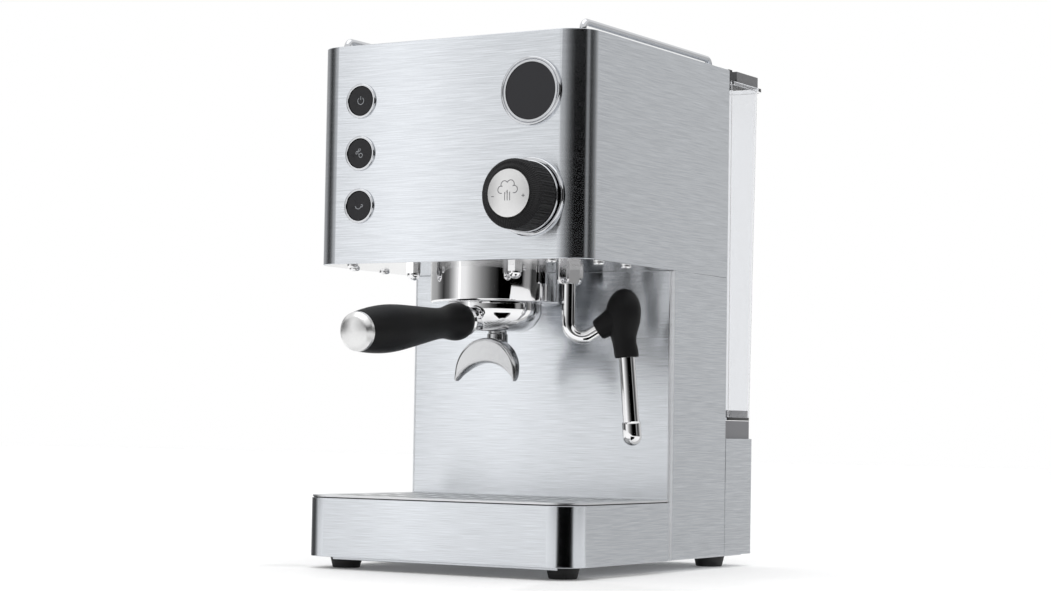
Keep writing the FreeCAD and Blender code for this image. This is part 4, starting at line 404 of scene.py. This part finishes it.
# Works inside the body.
# A drawn steel boiler, a pump on rubber mounts, brass and nylon valves, pipes, hoses and a board.
# They are screwed to the sheets from within and show only through slots.
boiler_steel = finish("drawn_steel", (0.5, 0.49, 0.47), metallic=1.0, roughness=0.35,
                      grain=(30.0, 30.0, 900.0), tone=0.1, polish=0.08, relief=0.1)
dress(boiler_steel, "boiler", "heating_element")
pump_plastic = finish("pump_plastic", (0.35, 0.33, 0.28), metallic=0.0, roughness=0.5,
                      grain=even_grain(700.0), tone=0.1, polish=0.06, relief=0.1)
dress(pump_plastic, "pump")
dress(foot_rubber, "pump_mounts")
clear_hose = finish("clear_hose", (0.6, 0.62, 0.62), metallic=0.0, roughness=0.35,
                    grain=even_grain(300.0), tone=0.1, polish=0.06, relief=0.05)
dress(clear_hose, "drain_pipe", "suction_hose")
copper = finish("drawn_copper", (0.62, 0.32, 0.2), metallic=1.0, roughness=0.3,
                grain=even_grain(200.0), tone=0.12, polish=0.08, relief=0.05)
dress(copper, "delivery_pipe", "steam_pipes")
brass = finish("machined_brass", (0.60, 0.42, 0.18), metallic=1.0, roughness=0.3,
               grain=even_grain(200.0), tone=0.1, polish=0.08, relief=0.05)
dress(brass, "steam_valve")
board_green = finish("board_green", (0.02, 0.14, 0.06), metallic=0.0, roughness=0.3,
                     grain=even_grain(300.0), tone=0.2, polish=0.06, relief=0.1)
dress(board_green, "control_board")
dress(moulded_black, "thermostats", "button_switches", "solenoid_valve", "display_module")


# Head floor, top plate and cup rails.
# The floor is bright rolled sheet, held by chromed dome nuts and screws.
# The top is brushed along its width, has slots for warm air and carries two chromed rods.
bright_steel = finish("bright_rolled_steel", (0.72, 0.72, 0.72), metallic=1.0, roughness=0.12,
                      grain=even_grain(40.0), tone=0.05, polish=0.03, relief=0.02)
dress(bright_steel, "head_underplate")
chrome = finish("polished_chrome", (0.80, 0.80, 0.81), metallic=1.0, roughness=0.05,
                grain=even_grain(60.0), tone=0.03, polish=0.02, relief=0.01)
dress(chrome, "dome_nuts", "underside_screws")
CROSS_GRAIN = (14.0, 1400.0, 22.0)
top_steel = finish("cross_brushed_steel", STEEL, metallic=1.0, roughness=0.28,
                   grain=CROSS_GRAIN, tone=0.14, polish=0.06, relief=0.2)
dress(top_steel, "top_plate", edge_width=SHEET_EDGE)
rod_chrome = finish("rod_chrome", (0.56, 0.57, 0.59), metallic=1.0, roughness=0.07,
                    grain=even_grain(60.0), tone=0.03, polish=0.02, relief=0.01)
dress(rod_chrome, "cup_rail_left", "cup_rail_right")


# Buttons, their rings and their marks.
# Chromed rings are pressed into the panel; each button is satin black plastic with a pale printed mark.
# The marks are a power sign, a steam sign and a cup.
dress(rod_chrome, "button_bezels")
button_black = finish("button_black", (0.012, 0.012, 0.014), metallic=0.0, roughness=0.38,
                      grain=even_grain(500.0), tone=0.2, polish=0.06, relief=0.05)
shader_of(button_black).inputs["Specular IOR Level"].default_value = 0.3
dress(button_black, "button_power", "button_steam", "button_brew")
mark_print = finish("mark_print", (0.27, 0.28, 0.30), metallic=0.0, roughness=0.5,
                    grain=even_grain(900.0), tone=0.1, polish=0.05, relief=0.0)
MARK_SLOT = "satin_chrome"
MARK_STROKE = 0.00045
MARK_SINK = 0.00012
ARC_STEPS = 24
BAR_STEPS = 6


def stroke_arc(shape, centre, radius, arc_deg, width):
    """Arc of a mark in the panel's plane, its two angles counted from +X towards +Z."""
    start, end = (math.radians(angle_deg) for angle_deg in arc_deg)
    out = Vector((math.cos(start), 0.0, math.sin(start)))
    inner = shape.verts.new(centre + out * (radius - width / 2))
    outer = shape.verts.new(centre + out * (radius + width / 2))
    edge = shape.edges.new((inner, outer))
    full_turn = arc_deg[1] - arc_deg[0] == 360
    bmesh.ops.spin(shape, geom=[inner, outer, edge], cent=centre, axis=(0.0, -1.0, 0.0),
                   angle=end - start, steps=ARC_STEPS, use_merge=full_turn)


def stroke_bar(shape, start, end, width):
    """Straight stroke of a mark between two points of the panel's plane."""
    along = end - start
    grid = bmesh.ops.create_grid(shape, x_segments=BAR_STEPS, y_segments=1, size=0.5)
    turn = Matrix.Rotation(-math.atan2(along.z, along.x), 4, "Y") @ Matrix.Rotation(math.pi / 2, 4, "X")
    size = Matrix.Diagonal((along.length, width, 1.0, 1.0))
    place = Matrix.Translation((start + end) / 2)
    bmesh.ops.transform(shape, matrix=place @ turn @ size, verts=grid["verts"])


def finish_mark(shape, name, material, body):
    """Turn a mark's faces to the front and make it a piece."""
    bmesh.ops.recalc_face_normals(shape, faces=shape.faces)
    for face in shape.faces:
        if face.normal.y > 0:
            face.normal_flip()
    add_piece(shape, name, material, body, MARK_SLOT)


def button_centre(name):
    """Middle of a button's front, just under its surface, where its mark lies."""
    low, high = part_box(name)
    return Vector(((low.x + high.x) / 2, low.y + MARK_SINK, (low.z + high.z) / 2))


def across(x_mm, z_mm):
    """Step in the panel's plane, given in millimetres."""
    return Vector((x_mm, 0.0, z_mm)) / 1000


POWER_RADIUS = 0.0026
POWER_ARC_DEG = (128, 412)
POWER_BAR_LOW = across(0, 0.6)
POWER_BAR_HIGH = across(0, 3.4)
power_mark = bmesh.new()
power_centre = button_centre("button_power")
stroke_arc(power_mark, power_centre, POWER_RADIUS, POWER_ARC_DEG, MARK_STROKE)
stroke_bar(power_mark, power_centre + POWER_BAR_LOW, power_centre + POWER_BAR_HIGH, MARK_STROKE)
finish_mark(power_mark, "power_mark", mark_print, "power_button")

DROP_PLACE = across(0.9, -1.5)
DROP_RADIUS = 0.0015
DROP_ARC_DEG = (0, 360)
WISP_PLACES = (across(-2.2, 0.4), across(-0.6, 0.4))
WISP_RADIUS = 0.0011
WISP_RISE = across(0, 2.2)
WISP_LOW_ARC_DEG = (90, 250)
WISP_HIGH_ARC_DEG = (-90, 70)
steam_mark = bmesh.new()
steam_centre = button_centre("button_steam")
stroke_arc(steam_mark, steam_centre + DROP_PLACE, DROP_RADIUS, DROP_ARC_DEG, MARK_STROKE)
for wisp_place in WISP_PLACES:
    wisp = steam_centre + wisp_place
    stroke_arc(steam_mark, wisp, WISP_RADIUS, WISP_LOW_ARC_DEG, MARK_STROKE)
    stroke_arc(steam_mark, wisp + WISP_RISE, WISP_RADIUS, WISP_HIGH_ARC_DEG, MARK_STROKE)
finish_mark(steam_mark, "steam_mark", mark_print, "steam_button")

CUP_PLACE = across(-0.4, 0.4)
CUP_RADIUS = 0.0026
CUP_ARC_DEG = (190, 350)
CUP_EAR_PLACE = across(2.5, 0.0)
CUP_EAR_RADIUS = 0.0009
CUP_EAR_ARC_DEG = (-100, 120)
cup_mark = bmesh.new()
cup_centre = button_centre("button_brew")
stroke_arc(cup_mark, cup_centre + CUP_PLACE, CUP_RADIUS, CUP_ARC_DEG, MARK_STROKE)
stroke_arc(cup_mark, cup_centre + CUP_EAR_PLACE, CUP_EAR_RADIUS, CUP_EAR_ARC_DEG, MARK_STROKE)
finish_mark(cup_mark, "cup_mark", mark_print, "brew_button")


# Display.
# A flat dark glass, switched off, sits in a chromed double ring.
# The ring is pressed into the panel and holds the glass from the front.
dress(rod_chrome, "display_bezel")
display_glass = finish("display_glass", (0.018, 0.018, 0.021), metallic=0.0, roughness=0.3,
                       grain=even_grain(60.0), tone=0.05, polish=0.04, relief=0.0)
shader_of(display_glass).inputs["Specular IOR Level"].default_value = 0.25
dress(display_glass, "display_lens")


# Steam knob.
# A black grip with a fine diamond knurl sits on a brass spindle in front of a chromed ring.
# Its satin metal cap carries a printed steam sign and the marks of both ends of the turn.
dress(rod_chrome, "knob_base_ring")
dress(brass, "knob_spindle")
satin_metal = finish("satin_metal", (0.70, 0.70, 0.70), metallic=1.0, roughness=0.3,
                     grain=even_grain(500.0), tone=0.06, polish=0.05, relief=0.05)
dress(satin_metal, "knob_cap")
knob_rubber = finish("knob_rubber", (0.005, 0.005, 0.006), metallic=0.0, roughness=0.5,
                     grain=even_grain(800.0), tone=0.25, polish=0.08, relief=0.0)
shader_of(knob_rubber).inputs["Specular IOR Level"].default_value = 0.25
KNURL_COUNT = 44.0
KNURL_PITCH = 0.0032
KNURL_STRENGTH = 0.9
KNURL_DEPTH = 0.0004


def add_knurl(material, axis_place):
    """Diamond relief round an axis that runs front to back."""
    tree = material.node_tree

    def result_of(operation, first, second):
        node = tree.nodes.new("ShaderNodeMath")
        node.operation = operation
        for socket, value in zip(node.inputs, (first, second)):
            if isinstance(value, float):
                socket.default_value = value
            elif value is not None:
                tree.links.new(value, socket)
        return node.outputs["Value"]

    place = tree.nodes.new("ShaderNodeTexCoord")
    split = tree.nodes.new("ShaderNodeSeparateXYZ")
    tree.links.new(place.outputs["Object"], split.inputs["Vector"])
    side = result_of("SUBTRACT", split.outputs["X"], axis_place.x)
    rise = result_of("SUBTRACT", split.outputs["Z"], axis_place.z)
    angle = result_of("MULTIPLY", result_of("ARCTAN2", rise, side), KNURL_COUNT)
    depth = result_of("MULTIPLY", split.outputs["Y"], 2 * math.pi / KNURL_PITCH)
    first = result_of("SINE", result_of("ADD", angle, depth), None)
    second = result_of("SINE", result_of("SUBTRACT", angle, depth), None)
    relief = result_of("MULTIPLY", first, second)
    bump = tree.nodes.new("ShaderNodeBump")
    bump.inputs["Strength"].default_value = KNURL_STRENGTH
    bump.inputs["Distance"].default_value = KNURL_DEPTH
    tree.links.new(relief, bump.inputs["Height"])
    tree.links.new(bump.outputs["Normal"], shader_of(material).inputs["Normal"])


knob_low, knob_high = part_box("knob_grip")
add_knurl(knob_rubber, (knob_low + knob_high) / 2)
dress(knob_rubber, "knob_grip")

CAP_SPHERE = 0.098
CAP_MARK_PROUD = 0.00006
CAP_STROKE = MARK_STROKE * 1.2
# Puffs of the cloud: place across and up and radius in millimetres, both ends of the arc in degrees.
CLOUD_PUFFS = (
    (-5.2, 2.2, 2.5, (60, 290)),
    (-2.5, 5.6, 2.7, (30, 200)),
    (2.4, 5.8, 2.9, (-20, 150)),
    (5.4, 2.3, 2.5, (-110, 120)),
)
# Jets under the cloud: place across and top, in millimetres.
JETS = ((-2.0, 0.6), (0.0, 2.0), (2.0, 0.6))
JET_FOOT_MM = -5.2
END_MARK_X_MM = 12.2
END_MARK_Z_MM = -2.2
END_MARK_HALF_MM = 1.1
cap_low, cap_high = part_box("knob_cap")
cap_centre = Vector(((cap_low.x + cap_high.x) / 2, cap_low.y, (cap_low.z + cap_high.z) / 2))
cap_print = finish("cap_print", (0.16, 0.16, 0.17), metallic=1.0, roughness=0.4,
                   grain=even_grain(900.0), tone=0.1, polish=0.05, relief=0.0)
cap_mark = bmesh.new()
for puff_x, puff_z, puff_radius, puff_arc_deg in CLOUD_PUFFS:
    puff_centre = cap_centre + across(puff_x, puff_z)
    stroke_arc(cap_mark, puff_centre, puff_radius / 1000, puff_arc_deg, CAP_STROKE)
for jet_x, jet_top in JETS:
    jet_foot = cap_centre + across(jet_x, JET_FOOT_MM)
    stroke_bar(cap_mark, jet_foot, cap_centre + across(jet_x, jet_top), CAP_STROKE)
for end_x in (-END_MARK_X_MM, END_MARK_X_MM):
    end_centre = cap_centre + across(end_x, END_MARK_Z_MM)
    half_bar = across(END_MARK_HALF_MM, 0)
    stroke_bar(cap_mark, end_centre - half_bar, end_centre + half_bar, CAP_STROKE)
plus_centre = cap_centre + across(END_MARK_X_MM, END_MARK_Z_MM)
half_post = across(0, END_MARK_HALF_MM)
stroke_bar(cap_mark, plus_centre - half_post, plus_centre + half_post, CAP_STROKE)
for vertex in cap_mark.verts:
    reach = math.hypot(vertex.co.x - cap_centre.x, vertex.co.z - cap_centre.z)
    vertex.co.y = cap_centre.y + CAP_SPHERE - math.sqrt(CAP_SPHERE ** 2 - reach ** 2) - CAP_MARK_PROUD
finish_mark(cap_mark, "cap_mark", cap_print, "steam_knob")


# Brewing group.
# A bare brass head is bolted under the boiler, with a rubber gasket and a steel screen in it.
# The chromed collar round it has the ledges that the portafilter's lugs turn under.
dress(brass, "group_head")
dress(foot_rubber, "group_gasket")
dress(bright_steel, "shower_screen")
dress(chrome, "group_collar")


# Portafilter.
# The bowl is a chromed brass casting with a pressed steel basket in it.
# The handle is black plastic with a satin end cap, screwed on behind a chromed ferrule.
dress(chrome, "portafilter_body", "handle_ferrule")
dress(bright_steel, "filter_basket")
dress(satin_metal, "handle_end_cap")
handle_black = finish("handle_black", (0.004, 0.004, 0.0045), metallic=0.0, roughness=0.48,
                      grain=even_grain(1000.0), tone=0.25, polish=0.06, relief=0.12)
shader_of(handle_black).inputs["Specular IOR Level"].default_value = 0.16
dress(handle_black, "portafilter_handle")


# Twin spout.
# A satin chromed crescent casting with rounded edges and two drawn-out tips.
# It is screwed on a short round neck under the bowl.
SPOUT_HALF = 0.0256
SPOUT_NECK_RISE = 0.0044
SPOUT_CROWN = 0.018
SPOUT_TIP_DROP = 0.0004
SPOUT_TIP_THICK = 0.0010
SPOUT_TIP_WIDE = 0.0014
SPOUT_DEPTH = 0.013
SPOUT_TIP_DEPTH = 0.0042
SPOUT_TAPER = 0.6
SPOUT_FORWARD = 0.007
SPOUT_ROUND = 0.0026
SPOUT_ROUND_SHARE = 0.9
SPOUT_STATIONS = 40
CORNER_STEPS = 4
spout_low, spout_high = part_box("twin_spout")
spout_top_z = spout_high.z - SPOUT_NECK_RISE
spout_tip_z = spout_low.z - SPOUT_TIP_DROP
spout_axis = Vector((0.0, (spout_low.y + spout_high.y) / 2, 0.0))


def arc_through(half, tip_z, top_z, share):
    """Point of an arc from the left tip over the top to the right tip."""
    rise = top_z - tip_z
    radius = (half ** 2 + rise ** 2) / (2 * rise)
    sweep = math.atan2(half, radius - rise)
    angle = sweep * (2 * share - 1)
    return Vector((radius * math.sin(angle), 0.0, top_z - radius + radius * math.cos(angle)))


def rounded_section(half_width, half_depth, rounding):
    """Points of a rounded rectangle, as pairs across and along the depth."""
    points = []
    for corner in range(4):
        side = 1 if corner in (0, 3) else -1
        face = 1 if corner in (0, 1) else -1
        for step in range(CORNER_STEPS + 1):
            angle = math.radians(90 * (corner + step / CORNER_STEPS))
            points.append((side * (half_width - rounding) + rounding * math.cos(angle),
                           face * (half_depth - rounding) + rounding * math.sin(angle)))
    return points


def close_ends(shape):
    """Fill the open rims of a shape."""
    bmesh.ops.holes_fill(shape, edges=[edge for edge in shape.edges if edge.is_boundary])


def bridge_rings(shape, rings):
    """Skin a row of closed rings of edges and close both ends."""
    for first, second in zip(rings, rings[1:]):
        bmesh.ops.bridge_loops(shape, edges=first + second)
    close_ends(shape)


ROUND_STEPS = 40


def turn_profile(shape, origin, along, out, profile_mm):
    """Turn a line, given as distances along an axis and out from it, once round and close both ends."""
    points = [shape.verts.new(origin + (along * rise + out * radius) / 1000) for rise, radius in profile_mm]
    line = [shape.edges.new(pair) for pair in zip(points, points[1:])]
    bmesh.ops.spin(shape, geom=points + line, cent=origin, axis=along, angle=2 * math.pi,
                   steps=ROUND_STEPS, use_merge=True)
    close_ends(shape)


spout_shape = bmesh.new()
spout_rings = []
for station in range(SPOUT_STATIONS + 1):
    share = station / SPOUT_STATIONS
    outer = arc_through(SPOUT_HALF, spout_tip_z + SPOUT_TIP_THICK, spout_top_z, share)
    inner = arc_through(SPOUT_HALF - SPOUT_TIP_WIDE, spout_tip_z, spout_top_z - SPOUT_CROWN, share)
    middle = (outer + inner) / 2
    half = (outer - inner).length / 2
    across_spout = (outer - inner).normalized()
    fullness = math.sin(math.pi * share) ** SPOUT_TAPER
    half_depth = (SPOUT_TIP_DEPTH + (SPOUT_DEPTH - SPOUT_TIP_DEPTH) * fullness) / 2
    middle.y = half_depth - SPOUT_DEPTH / 2 - SPOUT_FORWARD
    ring = []
    for wide, deep in rounded_section(half, half_depth, min(SPOUT_ROUND, half * SPOUT_ROUND_SHARE)):
        offset = across_spout * wide + Vector((0.0, deep, 0.0))
        ring.append(spout_shape.verts.new(spout_axis + middle + offset))
    spout_rings.append([spout_shape.edges.new(pair) for pair in zip(ring, ring[1:] + ring[:1])])
bridge_rings(spout_shape, spout_rings)
# Distance over the crescent's top and radius of the neck, in millimetres.
NECK_PROFILE_MM = ((-9.0, 6.0), (-8.4, 7.5), (3.0, 7.5), (3.6, 6.8), (4.3, 6.8))
NECK_BACK = 0.004
neck_place = spout_axis + Vector((0.0, NECK_BACK, spout_top_z))
turn_profile(spout_shape, neck_place, Vector((0.0, 0.0, 1.0)), Vector((1.0, 0.0, 0.0)), NECK_PROFILE_MM)
bmesh.ops.recalc_face_normals(spout_shape, faces=spout_shape.faces)
shade(spout_shape)
spout_satin = finish("spout_satin", (0.52, 0.525, 0.535), metallic=1.0, roughness=0.16,
                     grain=even_grain(300.0), tone=0.06, polish=0.04, relief=0.02)
add_piece(spout_shape, "spout_casting", spout_satin, "portafilter", slot_of["twin_spout"], "twin_spout")


# Steam wand.
# One chromed tube is bent to shape and turns in a chromed gland; its end has a sleeve and a domed nose.
# A black grip is moulded over its knee, wide at the head, with a boss round the incoming tube.
dress(chrome, "wand_pipe", "wand_gland")
WAND_TURN_DEG = 22.0
WAND_KNEE_OUT = 0.0397
WAND_KNEE_DROP = 0.03386
WAND_LEAN_DEG = 4.8
WAND_RISE_DEG = 33.0
WAND_LENGTH = 0.084
wand_turn = math.radians(WAND_TURN_DEG)
wand_lean = math.radians(WAND_LEAN_DEG)
wand_rise = math.radians(WAND_RISE_DEG)
wand_out = Vector((math.cos(wand_turn), math.sin(wand_turn), 0.0))
wand_side = Vector((-math.sin(wand_turn), math.cos(wand_turn), 0.0))
gland_low, gland_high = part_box("wand_gland")
head_bottom_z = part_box("head_wrap")[0].z
wand_axis = (gland_low + gland_high) / 2
wand_axis.z = head_bottom_z - WAND_KNEE_DROP
wand_knee = wand_axis + wand_out * WAND_KNEE_OUT
tube_up = (Vector((0.0, 0.0, math.cos(wand_lean))) - wand_out * math.sin(wand_lean)).normalized()
tube_out = wand_side.cross(tube_up)
boss_axis = -(wand_out * math.cos(wand_rise) + Vector((0.0, 0.0, math.sin(wand_rise))))
boss_out = wand_side.cross(boss_axis)
GRIP_MOUTH_DROP = 0.0312
GRIP_DEPTH_SHARE = 0.9
# Height over the mouth, reach to the group's side and reach to the far side, in millimetres.
GRIP_SECTIONS_MM = (
    (1.2, -5.6, 5.6),
    (0.0, -6.4, 6.4),
    (0.0, -8.0, 8.0),
    (0.6, -8.5, 8.5),
    (3.0, -8.8, 8.7),
    (6.3, -9.0, 8.3),
    (10.2, -9.4, 7.6),
    (14.0, -10.2, 7.8),
    (18.0, -11.2, 9.0),
    (23.9, -12.6, 11.2),
    (29.8, -13.0, 12.3),
    (34.7, -12.5, 12.5),
    (39.0, -11.3, 11.9),
    (42.6, -9.5, 10.6),
    (45.6, -7.0, 8.6),
    (47.8, -4.2, 6.2),
    (49.0, -1.2, 3.4),
)
grip_shape = bmesh.new()
grip_rings = []
for rise_mm, near_mm, far_mm in GRIP_SECTIONS_MM:
    middle = wand_knee + tube_up * (rise_mm / 1000 - GRIP_MOUTH_DROP) + tube_out * (near_mm + far_mm) / 2000
    reach = (far_mm - near_mm) / 2000
    oval = Matrix((tube_out * reach, wand_side * reach * GRIP_DEPTH_SHARE, tube_up)).transposed().to_4x4()
    circle = bmesh.ops.create_circle(grip_shape, cap_ends=False, segments=ROUND_STEPS, radius=1.0,
                                     matrix=Matrix.Translation(middle) @ oval)
    grip_rings.append(list({edge for vert in circle["verts"] for edge in vert.link_edges}))
bridge_rings(grip_shape, grip_rings)
# Distance from the knee along the incoming tube and radius of the boss, in millimetres.
BOSS_PROFILE_MM = (
    (0.0, 8.6),
    (5.0, 9.8),
    (10.0, 9.4),
    (14.0, 8.6),
    (18.0, 8.2),
    (20.6, 7.8),
    (22.0, 6.8),
    (22.4, 5.6),
    (21.0, 5.1),
)
turn_profile(grip_shape, wand_knee, boss_axis, boss_out, BOSS_PROFILE_MM)
bmesh.ops.recalc_face_normals(grip_shape, faces=grip_shape.faces)
shade(grip_shape)
add_piece(grip_shape, "wand_grip_moulding", handle_black, "steam_wand", slot_of["wand_grip"], "wand_grip")

# Distance below the tube's end and radius, in millimetres.
SLEEVE_PROFILE_MM = ((-53.0, 5.2), (-53.0, 5.8), (-6.6, 5.8), (-6.6, 5.2))
NOSE_RADIUS_MM = 6.7
NOSE_PROFILE_MM = ((-7.0, 5.3), (-7.0, 6.1), (-6.5, 6.5), (-5.0, NOSE_RADIUS_MM), (3.0, NOSE_RADIUS_MM))
DOME_START_MM = 3.2
DOME_SWEEP_DEG = 84
DOME_STEPS = 9
nose_line = list(NOSE_PROFILE_MM)
for step in range(1, DOME_STEPS + 1):
    angle = math.radians(DOME_SWEEP_DEG * step / DOME_STEPS)
    nose_line.append((DOME_START_MM + NOSE_RADIUS_MM * math.sin(angle), NOSE_RADIUS_MM * math.cos(angle)))
tube_end = wand_knee - tube_up * WAND_LENGTH
nozzle_shape = bmesh.new()
turn_profile(nozzle_shape, tube_end, -tube_up, tube_out, nose_line)
turn_profile(nozzle_shape, tube_end, -tube_up, tube_out, SLEEVE_PROFILE_MM)
bmesh.ops.recalc_face_normals(nozzle_shape, faces=nozzle_shape.faces)
shade(nozzle_shape)
add_piece(nozzle_shape, "wand_nozzle", chrome, "steam_wand", slot_of["wand_tip"], "wand_tip")


# Drip tray.
# A brushed steel front is folded round a black plastic box, which slides in over the base plate.
# The grate is a slotted steel sheet that lies loose on the box.
tray_skin = dress(level_steel, "tray_front", edge_width=SHEET_EDGE)[0]
polish_and_highlight_bends(tray_skin, bend_steel, BEND_TURN)
tray_black = finish("tray_black", (0.02, 0.02, 0.021), metallic=0.0, roughness=0.5,
                    grain=even_grain(900.0), tone=0.2, polish=0.06, relief=0.2)
dress(tray_black, "tray_box")
grate_steel = finish("grate_steel", (0.70, 0.71, 0.72), metallic=1.0, roughness=0.36,
                     grain=(40.0, 900.0, 40.0), tone=0.08, polish=0.04, relief=0.02)
dress(grate_steel, "drip_grate")


# Water tank, its seat, base and lid.
# The tank is clear moulded plastic that stands in a dark seat on the pedestal.
# A dark plate closes its floor, and a grey lid turns on a black hinge at its top.
TANK_DEPTH_COLOUR = (0.72, 0.74, 0.78, 1.0)
TANK_DEPTH_DENSITY = 28.0
clear_tank = finish("clear_tank", (0.92, 0.927, 0.94), metallic=0.0, roughness=0.03,
                    grain=even_grain(30.0), tone=0.01, polish=0.02, relief=0.0)
shader_of(clear_tank).inputs["Transmission Weight"].default_value = 1.0
shader_of(clear_tank).inputs["IOR"].default_value = 1.5
tank_tree = clear_tank.node_tree
tank_depth = tank_tree.nodes.new("ShaderNodeVolumeAbsorption")
tank_depth.inputs["Color"].default_value = TANK_DEPTH_COLOUR
tank_depth.inputs["Density"].default_value = TANK_DEPTH_DENSITY
tank_tree.links.new(tank_depth.outputs["Volume"], tank_tree.nodes["Material Output"].inputs["Volume"])
dress(clear_tank, "water_tank")
seat_grey = finish("seat_grey", (0.15, 0.15, 0.16), metallic=0.0, roughness=0.42,
                   grain=even_grain(1200.0), tone=0.2, polish=0.05, relief=0.2)
dress(seat_grey, "tank_seat", "tank_base")
lid_grey = finish("lid_grey", (0.11, 0.11, 0.115), metallic=0.0, roughness=0.4,
                  grain=even_grain(1200.0), tone=0.2, polish=0.05, relief=0.2)
dress(lid_grey, "tank_lid")
dress(moulded_black, "lid_hinge")
